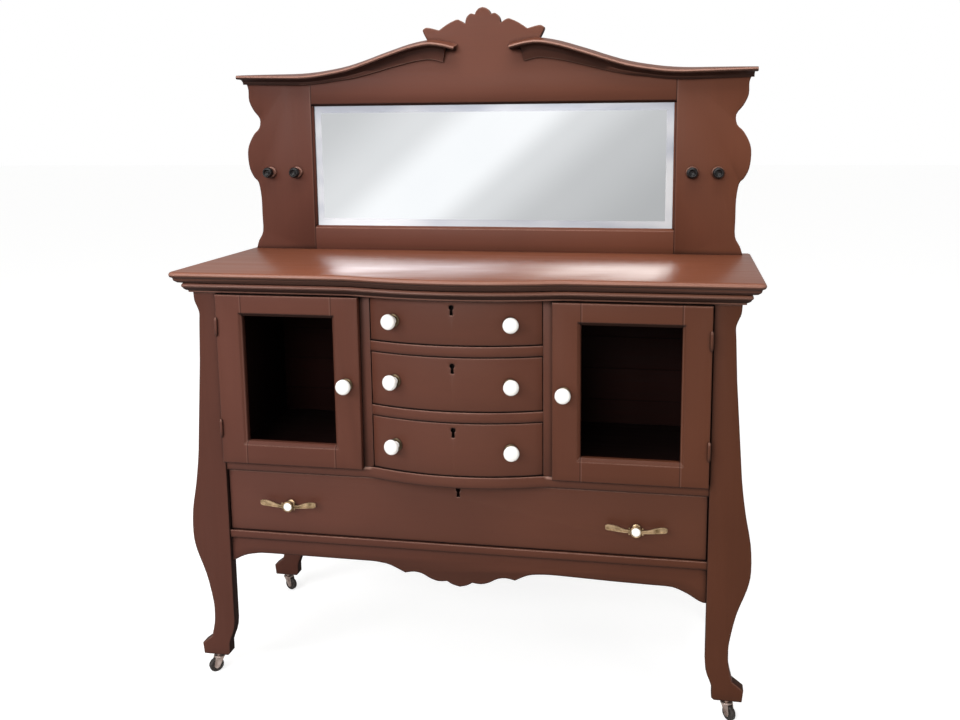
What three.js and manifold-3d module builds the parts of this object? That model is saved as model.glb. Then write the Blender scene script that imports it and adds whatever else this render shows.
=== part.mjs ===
// A painted chiffonier: a bowed sideboard case on four shaped plank legs with casters, two open-panel
// doors, three bowed drawers, one long drawer, and a shaped mirror back. Millimetres. X runs across
// the front, Y runs from front to back, Z runs up from the floor under the middle of the piece.
import * as THREE from 'three';
import { mergeVertices } from 'three/addons/utils/BufferGeometryUtils.js';
import Module from 'manifold-3d';

const wasm = await Module();
wasm.setup();

// Fits shared by all pieces
const touchGap = 0.3;
const slideGap = 0.4;
const cutOverrun = 5;
const weldDistance = 0.0005;
const edgeEase = 1.2;

// Case, from the floor up
const casterHeight = 44;
const lowerRailTop = 341;
const lowerRailThickness = 17;
const longOpening = 138.5;
const waistThickness = 24;
const drawerOpening = 114.7;
const topDrawerOpening = 94.1;
const railThickness = 21.5;
const mouldingThickness = 20;
const topThickness = 25;

// Case, from the middle out
const partitionInnerX = 180;
const partitionThickness = 28;
const doorReveal = 20;
const doorWidth = 311;
const doorSideGap = 1.9;
const legWidth = 86;
const topSideOverhang = 42.5;

// Case, from front to back
const caseDepth = 428;
const legThickness = 26;
const backThickness = 10;
const bowRise = 34;
const topOverhang = 31;
const railSetback = 4;
const sideSetback = 21.5;
const sideThickness = 16;
const sideDrop = 34;
const housingDepth = 5;
const waistBowExtra = 4;
const bowBlend = 1.1;

// Top board and the moulded board under it
const topNoseRadius = 6.5;
const topStep = 1;
const topOvoloDepth = 14;
const topRebate = 3;
const topCornerRadius = 14;
const mouldingSideStep = 23;
const mouldingOverhang = 18;
const mouldingCornerRadius = 8;
const mouldingInset = 12;

// Feet and casters
const toeChamfer = 5;
const wheelRadius = 16;
const wheelWidth = 11;
const wheelTrail = 8;
const wheelEdge = 2;
const axleRadius = 2;
const axleClearance = 0.3;
const cheekThickness = 1.5;
const cheekGap = 0.8;
const cheekTopHalf = 10.6;
const cheekRound = 6.8;
const axleHead = 1;
const cupRadius = 12.8;
const cupThickness = 3;
const cupGap = 6;
const neckRadius = 6.5;
const stemRadius = 4;
const stemClearance = 0.4;
const stemLength = 22;

// Dividers, guides and apron
const dividerRailDepth = 60;
const dividerRunnerWidth = 36;
const dividerRecess = 7;
const guideWidth = 8;
const guideHeight = 20;
const guideSetback = 5;
const apronSetback = 10;
const apronThickness = 18;
const apronDrop = 79;

// Drawers
const drawerGap = 1.5;
const drawerRecess = 1.5;
const drawerFrontThickness = 20;
const drawerSideThickness = 11;
const drawerBottomThickness = 6;
const drawerBottomLift = 6;
const drawerHeadroom = 20;
const drawerBackGap = 14.5;
const longSetback = 9;
const longGap = 2;
const longFrontGap = 1;
const longSideGap = 2.5;

// Doors
const doorTopGap = 2.5;
const doorLap = 2.5;
const doorThickness = 18;
const doorStile = 57;
const doorTopRail = 45;
const doorBottomRail = 50;
const doorBevelWidth = 7;
const doorBevelDepth = 7;

// Hinges
const hingeRadius = 2.8;
const hingeTipRadius = 2.1;
const hingeHeight = 33;
const hingeInset = 1.5;
const hingeLeafThickness = 1.1;
const hingeLeafLength = 38;
const hingeLeafGap = 0.2;
const hingeFromDoorTop = 68.5;
const hingeFromDoorBottom = 77;

// Knobs, pulls and pegs
const knobRadius = 16;
const knobReach = 30;
const pullHalfWidth = 62;
const pullWingHeight = 12;
const pullWingThickness = 3;
const pullForward = 15;
const pullBossRadius = 12;
const pullBossDepth = 9;
const pullPostRadius = 6;
const pegRadius = 12;
const pegReach = 26;
const pegHeight = 188;
// Fittings were set by eye, so left and right differ a little: pulls below the middle of the long
// drawer, knobs across the small drawers as shares of the half width, door knobs across the stile as
// shares of its width, and pegs across the mirror back
const pullDrops = { left: 2, right: 9 };
const drawerKnobShares = { left: 0.69, right: 0.645 };
const doorKnobShares = { left: 0.5, right: 0.42 };
const pegPlaces = { left_outer: -546, left_inner: -478, right_inner: 474, right_outer: 532 };

// Mirror back, fixed a little left of the middle; its crest and necks were set a little further left
const mirrorShift = -4;
const crestShift = -10;
const frameSetback = 34;
const frameThickness = 20;
const uprightWidth = 168.3;
const uprightReveal = 4.7;
const mirrorRailHeight = 53.5;
const glassOpeningHeight = 298;
const headEndHeight = 71.5;
const lipWidth = 4.7;
const lipDepth = 10;
const lipBevel = 3;
const lipFrontStep = 1.5;
const glassThickness = 5;
const glassEdgeThickness = 2.5;
const glassBevel = 21;
const backingThickness = 7;
const backingLap = 16;
const neckOverhang = 3.3;
const neckRise = 74;
const crestRise = 71;
const crestHalf = 144;
const capEndDrop = 2;
const capSlopeDrop = 7;
const capSlopeReach = 26;
const capNoseRadius = 4.5;
const coveOuterHeight = 11.5;
const coveInnerHeight = 32;
const coveReach = 25;
const coveFoot = 4.5;
const coveJoin = 1.5;

// Shapes as shares: across and up, of the sizes named beside them
// Front outline of a leg's outer edge: share of legWidth, share of the leg's height, from the top down
const legOuterShares = [
  [0.62, 1], [0.6, 0.977], [0.535, 0.96], [0.49, 0.944], [0.505, 0.915], [0.55, 0.818], [0.62, 0.722],
  [0.725, 0.577], [0.84, 0.486], [0.97, 0.413], [1, 0.345], [0.925, 0.298], [0.7, 0.231], [0.56, 0.16],
  [0.538, 0.125], [0.56, 0.09], [0.645, 0.053],
];
// Toe and heel corners of a leg: the toe's tip, and the heel's curve into the straight inner edge
const toeShares = [[0.915, 0.0315], [0.885, 0]];
const heelShares = [[0.17, 0.035], [0.12, 0.05], [0.06, 0.065], [0.02, 0.08], [0, 0.1]];
// Lower edge of the apron from the leg to the middle: share of legInnerX, share of apronDrop below its
// top; its two sides were sawn by hand and differ
const apronLeftShares = [
  [1, 0.74], [0.985, 0.68], [0.944, 0.545], [0.891, 0.465], [0.82, 0.437], [0.46, 0.445], [0.378, 0.445],
  [0.34, 0.465], [0.296, 0.52], [0.232, 0.71],
];
const apronRightShares = [
  [1, 0.94], [0.985, 0.93], [0.963, 0.866], [0.926, 0.72], [0.877, 0.585], [0.84, 0.555], [0.78, 0.55],
  [0.63, 0.53], [0.42, 0.485], [0.34, 0.49], [0.284, 0.545], [0.232, 0.71],
];
const apronMiddleShares = [
  [0.232, 0.71], [0.195, 0.665], [0.16, 0.7], [0.125, 0.82], [0.09, 0.885], [0.053, 0.865],
];
const apronLobeShares = [[0.053, 0.865], [0.03, 0.95], [0, 1]];
// Outer edge of an upright: share of uprightWidth, share of the height to the neck's tip
const uprightShares = [
  [0.926, 0], [0.89, 0.045], [0.82, 0.1], [0.818, 0.2], [0.82, 0.3], [0.853, 0.385], [0.915, 0.414],
  [0.978, 0.465], [1, 0.54], [0.978, 0.6], [0.893, 0.663], [0.805, 0.7], [0.79, 0.752], [0.88, 0.8],
  [0.943, 0.855], [0.946, 0.914], [0.962, 0.94], [0.982, 0.957], [1.004, 0.969], [1.02, 0.978],
];
// Top line of a swan neck from its tip inwards: share of neckTipX, share of neckRise
const neckShares = [
  [1, 0], [0.931, 0.007], [0.85, 0.011], [0.768, 0.0135], [0.711, 0.034], [0.647, 0.088],
  [0.552, 0.223], [0.474, 0.405], [0.408, 0.588], [0.346, 0.75], [0.295, 0.874], [0.245, 0.963],
  [0.208, 1], [0.177, 0.982], [0.15, 0.945], [0.125, 0.9], [0.101, 0.845],
];
// Along a neck from its tip inwards: where its cap has its full slope, and where the cove under it begins,
// starts to grow and ends
const capSlopeShare = 0.33;
const coveStartShare = 0.012;
const coveSwellShare = 0.42;
const coveEndShare = 0.955;
// Leaves and lobes of the crest from the neck to the middle: share of crestHalf, share of the crest's rise
const crestShares = [
  [[0.93, 0], [0.995, 0.27], [0.97, 0.36], [0.9, 0.385], [0.724, 0.295]],
  [[0.724, 0.295], [0.6, 0.465], [0.48, 0.585], [0.4, 0.62], [0.29, 0.49]],
  [[0.29, 0.49], [0.27, 0.67], [0.215, 0.79], [0.17, 0.8], [0.13, 0.77]],
  [[0.13, 0.77], [0.105, 0.88], [0.06, 0.965], [0, 1]],
];
// Knob and peg profiles from the foot to the crown: share of the radius, share of the reach
const knobShares = [
  [0.5, 0], [0.5, 0.1], [0.38, 0.2], [0.45, 0.37], [0.82, 0.5], [1, 0.68], [0.93, 0.85], [0.6, 0.96], [0, 1],
];
const pegShares = [[0.5, 0], [0.5, 0.38], [0.9, 0.5], [1, 0.66], [0.85, 0.88], [0.4, 0.985], [0, 1]];
// Upper and lower edges of a pull's wing: share of pullHalfWidth, share of pullWingHeight
const wingShares = [
  [0.1, 0.25], [0.28, 0.27], [0.42, 0.4], [0.62, 0.78], [0.8, 0.98], [0.94, 0.98], [1, 0.8], [1, 0.3],
  [0.95, 0.05], [0.75, -0.08], [0.5, -0.2], [0.3, -0.27], [0.1, -0.25],
];
// Profile of the moulded board from its lower edge up: share of mouldingInset, share of its thickness
const mouldingShares = [
  [1, 0], [1, 0.18], [0.72, 0.24], [0.42, 0.38], [0.3, 0.5], [0.08, 0.6], [0, 0.74], [0.08, 0.88], [0.3, 1],
];
// Places along other sizes: casters across the foot, pulls across their drawer, the bow of the top
const casterShare = 0.54;
const pullShare = 0.722;
const topBowShare = 1.2;
// Shape of a pull's boss: its back and rim against its widest place
const bossBackShare = 0.7;
const bossRimShare = 0.8;
// Directions in which the casters trail, in degrees from +X, as they were left
const casterHeadings = { front_left: 224, front_right: -50, rear_left: -21, rear_right: 200 };

// Steps for curves
const bowSteps = 22;
const splineSteps = 3;
const neckSteps = 28;
const turnSteps = 16;
const smallTurnSteps = 10;
const cornerSteps = 3;
const noseSteps = 4;

// Places worked out from the sizes above
const apronTop = lowerRailTop - lowerRailThickness;
const waistUnderside = lowerRailTop + longOpening;
const waistTop = waistUnderside + waistThickness;
const lowerDividerTop = waistTop + drawerOpening + railThickness;
const upperDividerTop = lowerDividerTop + drawerOpening + railThickness;
const legTop = upperDividerTop + topDrawerOpening;
const legHeight = legTop - casterHeight;
const topUnderside = legTop + mouldingThickness;
const topHeight = topUnderside + topThickness;
const doorInnerX = partitionInnerX + doorReveal;
const doorOuterX = doorInnerX + doorWidth;
const legInnerX = doorOuterX + doorSideGap;
const sideInnerX = legInnerX + sideSetback;
const casterX = legInnerX + legWidth * casterShare;
const topHalf = legInnerX + legWidth * legOuterShares[0][0] + topSideOverhang;
const mouldingHalf = topHalf - mouldingSideStep;
const uprightInnerX = topHalf - uprightReveal - uprightWidth;
const legFront = (topOverhang + bowRise - caseDepth) / 2;
const caseBack = legFront + caseDepth;
const railFront = legFront + railSetback;
const frontLegBack = legFront + legThickness;
const rearLegFront = caseBack - legThickness;
const backFront = rearLegFront - backThickness;
const drawerEnd = backFront - drawerBackGap;
const frameFront = caseBack - frameSetback;
const frameBack = frameFront + frameThickness;
const sightBottom = topHeight + mirrorRailHeight;
const sightTop = sightBottom + glassOpeningHeight;
const neckTipX = topHalf + neckOverhang;
const neckTipZ = sightTop + headEndHeight;
const uprightFootX = uprightInnerX + uprightWidth * uprightShares[0][0];
const rebateFloor = topHeight - topRebate;
const doorBack = railFront - touchGap;
const doorFront = doorBack - doorThickness;
const doorTop = legTop - doorTopGap;
const doorBottom = waistTop - doorLap;
const bowHalf = partitionInnerX;

// Looks of the pieces
const looks = {
  case: { color: 0x5f3c30, roughness: 0.42, metalness: 0 },
  top: { color: 0x6b4335, roughness: 0.3, metalness: 0 },
  inside: { color: 0x38201a, roughness: 0.7, metalness: 0 },
  drawerWood: { color: 0x8a6747, roughness: 0.65, metalness: 0 },
  porcelain: { color: 0xf2f1ec, roughness: 0.12, metalness: 0 },
  brass: { color: 0x9a7b45, roughness: 0.35, metalness: 1 },
  black: { color: 0x0f0d0d, roughness: 0.35, metalness: 0 },
  mirror: { color: 0xd8dcdc, roughness: 0.03, metalness: 1 },
  steel: { color: 0x8d857c, roughness: 0.4, metalness: 1 },
  wheel: { color: 0x2a2523, roughness: 0.55, metalness: 0 },
};

const chiffonier = new THREE.Group();

function addPiece(name, geometry, look) {
  const mesh = new THREE.Mesh(geometry, new THREE.MeshStandardMaterial(looks[look]));
  mesh.name = name;
  chiffonier.add(mesh);
}

// Joining and cutting of closed shapes
function toSolid(geometry) {
  const bare = geometry.clone();
  bare.deleteAttribute('normal');
  bare.deleteAttribute('uv');
  const welded = mergeVertices(bare, weldDistance);
  return new wasm.Manifold(new wasm.Mesh({
    numProp: 3,
    vertProperties: new Float32Array(welded.attributes.position.array),
    triVerts: new Uint32Array(welded.index.array),
  }));
}

function toGeometry(solid) {
  const mesh = solid.getMesh();
  const geometry = new THREE.BufferGeometry();
  geometry.setAttribute('position', new THREE.BufferAttribute(new Float32Array(mesh.vertProperties), 3));
  geometry.setIndex([...mesh.triVerts]);
  return geometry;
}

function joined(...geometries) {
  return toGeometry(geometries.map(toSolid).reduce((whole, piece) => whole.add(piece)));
}

function cut(geometry, ...tools) {
  return toGeometry(tools.map(toSolid).reduce((whole, tool) => whole.subtract(tool), toSolid(geometry)));
}

// Basic shapes
function bar(x0, x1, y0, y1, z0, z1) {
  const geometry = new THREE.BoxGeometry(x1 - x0, y1 - y0, z1 - z0);
  geometry.translate((x0 + x1) / 2, (y0 + y1) / 2, (z0 + z1) / 2);
  return geometry;
}

// The same on the left (-1) or right (1) side, from an inner to an outer distance off the middle
function sideBar(side, inner, outer, ...rest) {
  return side > 0 ? bar(inner, outer, ...rest) : bar(-outer, -inner, ...rest);
}

// An upright board: its outline is given as (x, z) and it fills front to back, with eased edges
function plate(outline, front, back, ease) {
  const geometry = new THREE.ExtrudeGeometry(new THREE.Shape(outline), {
    depth: back - front - 2 * ease,
    steps: 1,
    bevelEnabled: ease > 0,
    bevelThickness: ease,
    bevelSize: ease,
    bevelOffset: -ease,
    bevelSegments: 1,
  });
  geometry.rotateX(Math.PI / 2);
  geometry.translate(0, back - ease, 0);
  return geometry;
}

// A lying board: its outline is given as (x, y) and it fills bottom to top, with eased edges
function slab(outline, bottom, top, ease) {
  const geometry = new THREE.ExtrudeGeometry(new THREE.Shape(outline), {
    depth: top - bottom - 2 * ease,
    steps: 1,
    bevelEnabled: ease > 0,
    bevelThickness: ease,
    bevelSize: ease,
    bevelOffset: -ease,
    bevelSegments: 1,
  });
  geometry.translate(0, 0, bottom + ease);
  return geometry;
}

// A turned piece about Z: its profile is given as (radius, height)
function turned(profile, steps) {
  const geometry = new THREE.LatheGeometry(profile.map(([r, h]) => new THREE.Vector2(r, h)), steps);
  geometry.rotateX(Math.PI / 2);
  return geometry;
}

function rod(radius, z0, z1, steps) {
  return turned([[0, z0], [radius, z0], [radius, z1], [0, z1]], steps);
}

function signedArea(points) {
  return THREE.ShapeUtils.area(points);
}

// A closed body through rings of equal count; the flat outlines of its two ends are given for the caps
function loft(rings, firstEnd, lastEnd) {
  const count = rings[0].length;
  const index = [];
  for (let ring = 0; ring < rings.length - 1; ring += 1) {
    for (let i = 0; i < count; i += 1) {
      const a = ring * count + i;
      const b = ring * count + ((i + 1) % count);
      index.push(a, b, b + count, a, b + count, a + count);
    }
  }
  addCap(index, firstEnd, 0, false);
  addCap(index, lastEnd, (rings.length - 1) * count, true);
  const geometry = new THREE.BufferGeometry().setFromPoints(rings.flat());
  if (enclosedVolume(geometry, index) < 0) {
    index.reverse();
  }
  geometry.setIndex(index);
  return geometry;
}

function addCap(index, outline, offset, along) {
  const outlineTurn = signedArea(outline) > 0;
  for (const [a, b, c] of THREE.ShapeUtils.triangulateShape(outline, [])) {
    const faceTurn = signedArea([outline[a], outline[b], outline[c]]) > 0;
    if ((faceTurn === outlineTurn) === along) {
      index.push(offset + a, offset + b, offset + c);
    } else {
      index.push(offset + c, offset + b, offset + a);
    }
  }
}

function enclosedVolume(geometry, index) {
  const position = geometry.attributes.position;
  const corner = (i) => new THREE.Vector3().fromBufferAttribute(position, index[i]);
  let volume = 0;
  for (let i = 0; i < index.length; i += 3) {
    volume += corner(i).dot(corner(i + 1).cross(corner(i + 2))) / 6;
  }
  return volume;
}

// Curves
const at = (x, y) => new THREE.Vector2(x, y);

function smoothLine(points, steps = splineSteps) {
  return new THREE.SplineCurve(points).getPoints((points.length - 1) * steps);
}

const bowRadius = (halfChord) => (halfChord ** 2 + bowRise ** 2) / (2 * bowRise);

// How far forward a bow of the given half chord stands at x; past the chord it is negative
function bowArc(x, halfChord) {
  const radius = bowRadius(halfChord);
  return Math.sqrt(Math.max(radius ** 2 - x ** 2, 0)) - (radius - bowRise);
}

// The same bow, blended softly into the straight front on each side of it
function blendedBow(x, halfChord) {
  const rise = bowArc(x, halfChord);
  return (rise + Math.hypot(rise, 2 * bowBlend)) / 2;
}

const steppedTo = (half, steps) => Array.from({ length: steps + 1 }, (_, i) => half * (2 * i / steps - 1));

// The front edge of a board across x, from left to right, with a bow in its middle
function bowedEdge(half, front, halfChord) {
  return steppedTo(half, bowSteps).map((x) => at(x, front - bowArc(x, halfChord)));
}

function blendedEdge(front, halfChord) {
  const reach = halfChord * (1 + cornerSteps / bowSteps);
  return steppedTo(reach, bowSteps).map((x) => at(x, front - blendedBow(x, halfChord)));
}

const mirrored = (points) => points.map((p) => at(-p.x, p.y)).reverse();

// Top board and moulded board: rings of one plan outline, drawn in at each height
function planRing(halfWidth, front, cornerRadius, inset, z) {
  const half = halfWidth - inset;
  const edge = front + inset;
  const radius = Math.max(cornerRadius - inset, cornerRadius / cornerSteps);
  const corner = [];
  for (let i = 0; i <= cornerSteps; i += 1) {
    const angle = (Math.PI / 2) * (i / cornerSteps);
    corner.push(at(half - radius * (1 - Math.sin(angle)), edge + radius * (1 - Math.cos(angle))));
  }
  const bow = blendedEdge(edge, bowHalf * topBowShare);
  const outline = [at(-half, caseBack), ...mirrored(corner), ...bow, ...corner, at(half, caseBack)];
  return outline.map((p) => new THREE.Vector3(p.x, p.y, z));
}

function planBoard(halfWidth, front, cornerRadius, profile) {
  const rings = profile.map(([inset, z]) => planRing(halfWidth, front, cornerRadius, inset, z));
  const flat = (ring) => ring.map((p) => at(p.x, p.y));
  return loft(rings, flat(rings[0]), flat(rings[rings.length - 1]));
}

// A bullnosed upper edge with an ovolo under it; the mirror back stands in a rebate along the back
function topBoard() {
  const profile = [];
  const ovoloRise = topThickness - 2 * topNoseRadius;
  for (let i = cornerSteps; i >= 0; i -= 1) {
    const angle = (Math.PI / 2) * (i / cornerSteps);
    const inset = topNoseRadius + topStep + topOvoloDepth * (1 - Math.cos(angle));
    profile.push([inset, topUnderside + ovoloRise * (1 - Math.sin(angle))]);
  }
  for (let i = 0; i <= noseSteps; i += 1) {
    const angle = Math.PI * (i / noseSteps);
    const height = topUnderside + ovoloRise + topNoseRadius * (1 - Math.cos(angle));
    profile.push([topNoseRadius * (1 - Math.sin(angle)), height]);
  }
  const board = planBoard(topHalf, legFront - topOverhang, topCornerRadius, profile);
  const rebate = bar(mirrorShift - uprightFootX, mirrorShift + uprightFootX, frameFront,
    caseBack + cutOverrun, rebateFloor, topHeight + cutOverrun);
  return cut(board, rebate);
}

function mouldedBoard() {
  const profile = mouldingShares.map(([inset, up]) => {
    return [mouldingInset * inset, legTop + mouldingThickness * up];
  });
  return planBoard(mouldingHalf, legFront - mouldingOverhang, mouldingCornerRadius, profile);
}

// Legs
function legOutline(side) {
  const place = ([across, up]) => at(side * (legInnerX + legWidth * across), casterHeight + legHeight * up);
  const outer = smoothLine(legOuterShares.map(place));
  const toe = toeShares.map(place);
  const heelX = legInnerX + legWidth * heelShares[0][0];
  const heel = [at(side * (heelX + toeChamfer), casterHeight), at(side * heelX, casterHeight + toeChamfer)];
  return [...outer, ...toe, ...heel, ...heelShares.map(place), at(side * legInnerX, legTop)];
}

function leg(side, front) {
  const plank = plate(legOutline(side), front, front + legThickness, edgeEase);
  const holeTop = casterHeight + stemLength + slideGap;
  const hole = rod(stemRadius + stemClearance, casterHeight - cutOverrun, holeTop, smallTurnSteps);
  hole.translate(side * casterX, front + legThickness / 2, 0);
  return cut(plank, hole);
}

// Case boards
function sidePanel(side) {
  const outer = sideInnerX + sideThickness;
  return sideBar(side, sideInnerX, outer, frontLegBack, rearLegFront, apronTop - sideDrop, legTop);
}

// The partitions stand in housings across the waist board
function partition(side) {
  const outer = partitionInnerX + partitionThickness;
  return sideBar(side, partitionInnerX, outer, railFront, backFront, waistTop - housingDepth, legTop);
}

// A board across the whole case, let in between the front legs, with the given front edge
function fullBoard(frontEdge, bottom, top) {
  const right = [at(legInnerX, railFront), at(legInnerX, frontLegBack), at(sideInnerX, frontLegBack),
    at(sideInnerX, backFront)];
  return slab([...frontEdge, ...right, ...mirrored(right)], bottom, top, 0);
}

function waistBoard() {
  const board = fullBoard(blendedEdge(railFront, bowHalf + waistBowExtra), waistUnderside, waistTop);
  const outer = partitionInnerX + partitionThickness;
  const housings = [-1, 1].map((side) => sideBar(side, partitionInnerX, outer, railFront,
    backFront + cutOverrun, waistTop - housingDepth, waistTop + cutOverrun));
  return cut(board, ...housings);
}

function bottomFrame() {
  const board = fullBoard([], apronTop, lowerRailTop);
  const guideInner = legInnerX - longSideGap + slideGap;
  const guides = [-1, 1].map((side) => sideBar(side, guideInner, guideInner + guideWidth,
    frontLegBack + guideSetback, backFront, apronTop, lowerRailTop + guideHeight));
  return joined(board, ...guides);
}

// A divider between two drawers: bowed front rail, side runners and back rail round a thinner panel
function divider(top) {
  const bottom = top - railThickness;
  const edge = bowedEdge(bowHalf, railFront, bowHalf);
  const board = slab([...edge, at(bowHalf, backFront), at(-bowHalf, backFront)], bottom, top, 0);
  const inner = bowHalf - dividerRunnerWidth;
  const y0 = railFront + dividerRailDepth;
  const y1 = backFront - dividerRunnerWidth;
  const above = bar(-inner, inner, y0, y1, top - dividerRecess, top + cutOverrun);
  const below = bar(-inner, inner, y0, y1, bottom - cutOverrun, bottom + dividerRecess);
  return cut(board, above, below);
}

function apron() {
  const place = ([across, down]) => at(legInnerX * across, apronTop - apronDrop * down);
  const lowerEdge = (outerShares) => {
    const runs = [outerShares, apronMiddleShares, apronLobeShares];
    return runs.flatMap((run) => smoothLine(run.map(place)));
  };
  const outline = [at(legInnerX, apronTop), ...lowerEdge(apronRightShares),
    ...mirrored(lowerEdge(apronLeftShares)).slice(1), at(-legInnerX, apronTop)];
  const front = legFront + apronSetback;
  return plate(withoutRepeats(outline), front, front + apronThickness, 0);
}

function withoutRepeats(points) {
  return points.filter((p, i) => i === 0 || p.distanceTo(points[i - 1]) > weldDistance);
}

function backBoards() {
  return bar(-sideInnerX, sideInnerX, backFront, rearLegFront, apronTop, legTop);
}

// Drawers
const smallDrawers = [
  { name: 'drawer_1', bottom: upperDividerTop, top: legTop },
  { name: 'drawer_2', bottom: lowerDividerTop, top: lowerDividerTop + drawerOpening },
  { name: 'drawer_3', bottom: waistTop, top: waistTop + drawerOpening },
];
const smallHalf = partitionInnerX - drawerGap;
const smallFront = railFront + drawerRecess;
const smallBack = smallFront + drawerFrontThickness;

function bowedDrawerFront({ bottom, top }) {
  const front = bowedEdge(smallHalf, smallFront, bowHalf);
  const back = bowedEdge(smallHalf, smallBack, bowHalf).reverse();
  return slab([...front, ...back], bottom + drawerGap, top - drawerGap, edgeEase);
}

// Walls and bottom of a drawer, open towards its front board
function drawerBox(half, front, back, bottom, height) {
  const low = bottom + slideGap;
  const high = low + height;
  const inner = half - drawerSideThickness;
  const left = bar(-half, -inner, front, back, low, high);
  const right = bar(inner, half, front, back, low, high);
  const rear = bar(-half, half, back - drawerSideThickness, back, low, high);
  const floor = bar(-half, half, front, back, low + drawerBottomLift,
    low + drawerBottomLift + drawerBottomThickness);
  return joined(left, right, rear, floor);
}

function smallDrawerBox({ bottom, top }) {
  const height = top - bottom - drawerHeadroom;
  const box = drawerBox(smallHalf, smallFront - bowRise, drawerEnd, bottom, height);
  const face = bowedEdge(smallHalf + cutOverrun, smallBack + touchGap, bowHalf);
  const ahead = smallFront - bowRise - cutOverrun;
  const clear = [...face, at(smallHalf + cutOverrun, ahead), at(-smallHalf - cutOverrun, ahead)];
  return cut(box, slab(clear, bottom - cutOverrun, top + cutOverrun, 0));
}

const longHalf = legInnerX - longSideGap;
const longFront = legFront + longSetback;
const longBack = longFront + drawerFrontThickness;

function longDrawerFront() {
  const low = lowerRailTop + longFrontGap;
  const high = waistUnderside - longFrontGap;
  const half = legInnerX - longGap;
  const outline = [at(-half, low), at(half, low), at(half, high), at(-half, high)];
  return plate(outline, longFront, longBack, edgeEase);
}

function longDrawerBox() {
  const height = waistUnderside - lowerRailTop - drawerHeadroom;
  return drawerBox(longHalf, longBack, drawerEnd, lowerRailTop, height);
}

// Doors: a frame of two stiles and two rails round an open panel, bevelled on its inner front edge
function door(side) {
  const outerRect = { x0: doorInnerX, x1: doorOuterX, z0: doorBottom, z1: doorTop };
  const innerRect = {
    x0: doorInnerX + doorStile,
    x1: doorOuterX - doorStile,
    z0: doorBottom + doorBottomRail,
    z1: doorTop - doorTopRail,
  };
  const ring = (rect, grow, y) => [
    new THREE.Vector3(side * (rect.x0 - grow), y, rect.z0 - grow),
    new THREE.Vector3(side * (rect.x1 + grow), y, rect.z0 - grow),
    new THREE.Vector3(side * (rect.x1 + grow), y, rect.z1 + grow),
    new THREE.Vector3(side * (rect.x0 - grow), y, rect.z1 + grow),
  ];
  return closedLoft([
    ring(outerRect, 0, doorBack),
    ring(outerRect, 0, doorFront + edgeEase),
    ring(outerRect, -edgeEase, doorFront),
    ring(innerRect, doorBevelWidth, doorFront),
    ring(innerRect, 0, doorFront + doorBevelDepth),
    ring(innerRect, 0, doorBack),
  ]);
}

// A frame-like body through rings that close on themselves
function closedLoft(rings) {
  const count = rings[0].length;
  const index = [];
  rings.forEach((_, ring) => {
    const next = (ring + 1) % rings.length;
    for (let i = 0; i < count; i += 1) {
      const j = (i + 1) % count;
      index.push(ring * count + i, ring * count + j, next * count + j);
      index.push(ring * count + i, next * count + j, next * count + i);
    }
  });
  const geometry = new THREE.BufferGeometry().setFromPoints(rings.flat());
  if (enclosedVolume(geometry, index) < 0) {
    index.reverse();
  }
  geometry.setIndex(index);
  return geometry;
}

// Hinge: a barrel with ball tips before the door's outer edge, and the leaf along the leg's inner face
function hinge(side, z) {
  const half = hingeHeight / 2;
  const tipHalf = half + hingeTipRadius;
  const upper = [
    [hingeRadius, half], [hingeTipRadius, half], [hingeTipRadius, tipHalf],
    [hingeTipRadius * Math.SQRT1_2, tipHalf + hingeTipRadius * Math.SQRT1_2], [0, tipHalf + hingeTipRadius],
  ];
  const lower = upper.map(([r, h]) => [r, -h]).reverse();
  const barrel = turned([...lower, ...upper], smallTurnSteps);
  const y = doorFront - touchGap - hingeRadius;
  barrel.translate(side * (doorOuterX - hingeInset), y, z);
  const leafOuter = legInnerX - hingeLeafGap;
  const leaf = sideBar(side, leafOuter - hingeLeafThickness, leafOuter, y, y + hingeLeafLength,
    z - half, z + half);
  return joined(barrel, leaf);
}

// Knobs, pegs and pulls
function facingForward(geometry, x, y, z, turn) {
  geometry.rotateX(Math.PI / 2);
  geometry.rotateZ(turn);
  geometry.translate(x, y, z);
  return geometry;
}

function knob(radius, reach, shares, steps) {
  return turned([[0, 0], ...shares.map(([r, h]) => [radius * r, reach * h])], steps);
}

function drawerKnob(side, share, z) {
  const across = bowHalf * share;
  const turn = Math.asin(across / bowRadius(bowHalf));
  const footRadius = knobRadius * knobShares[0][0];
  const stand = touchGap + footRadius ** 2 / (2 * bowRadius(bowHalf));
  const face = smallFront - bowArc(across, bowHalf);
  const x = side * (across + stand * Math.sin(turn));
  const turnedKnob = knob(knobRadius, knobReach, knobShares, turnSteps);
  return facingForward(turnedKnob, x, face - stand * Math.cos(turn), z, side * turn);
}

function pull(side, drop) {
  const place = ([across, up]) => at(pullHalfWidth * across, pullWingHeight * up);
  const outline = wingShares.map(place);
  const wingFront = longFront - pullForward - pullWingThickness;
  const wings = [outline, mirrored(outline)].map((points) => {
    return plate(points, wingFront, wingFront + pullWingThickness, 0);
  });
  const boss = turned([
    [0, pullForward - pullWingThickness], [pullBossRadius * bossBackShare, pullForward - pullWingThickness],
    [pullBossRadius, pullForward], [pullBossRadius, pullForward + pullBossDepth / 2],
    [pullBossRadius * bossRimShare, pullForward + pullBossDepth], [0, pullForward + pullBossDepth],
  ], turnSteps);
  const post = turned([
    [0, 0], [pullBossRadius * bossRimShare, 0], [pullBossRadius * bossRimShare, pullWingThickness / 2],
    [pullPostRadius, pullWingThickness], [pullPostRadius, pullForward], [0, pullForward],
  ], turnSteps);
  [boss, post].forEach((piece) => facingForward(piece, 0, longFront, 0, 0));
  const body = joined(...wings, boss, post);
  body.translate(side * legInnerX * pullShare, 0, (lowerRailTop + waistUnderside) / 2 - drop);
  return body;
}

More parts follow.
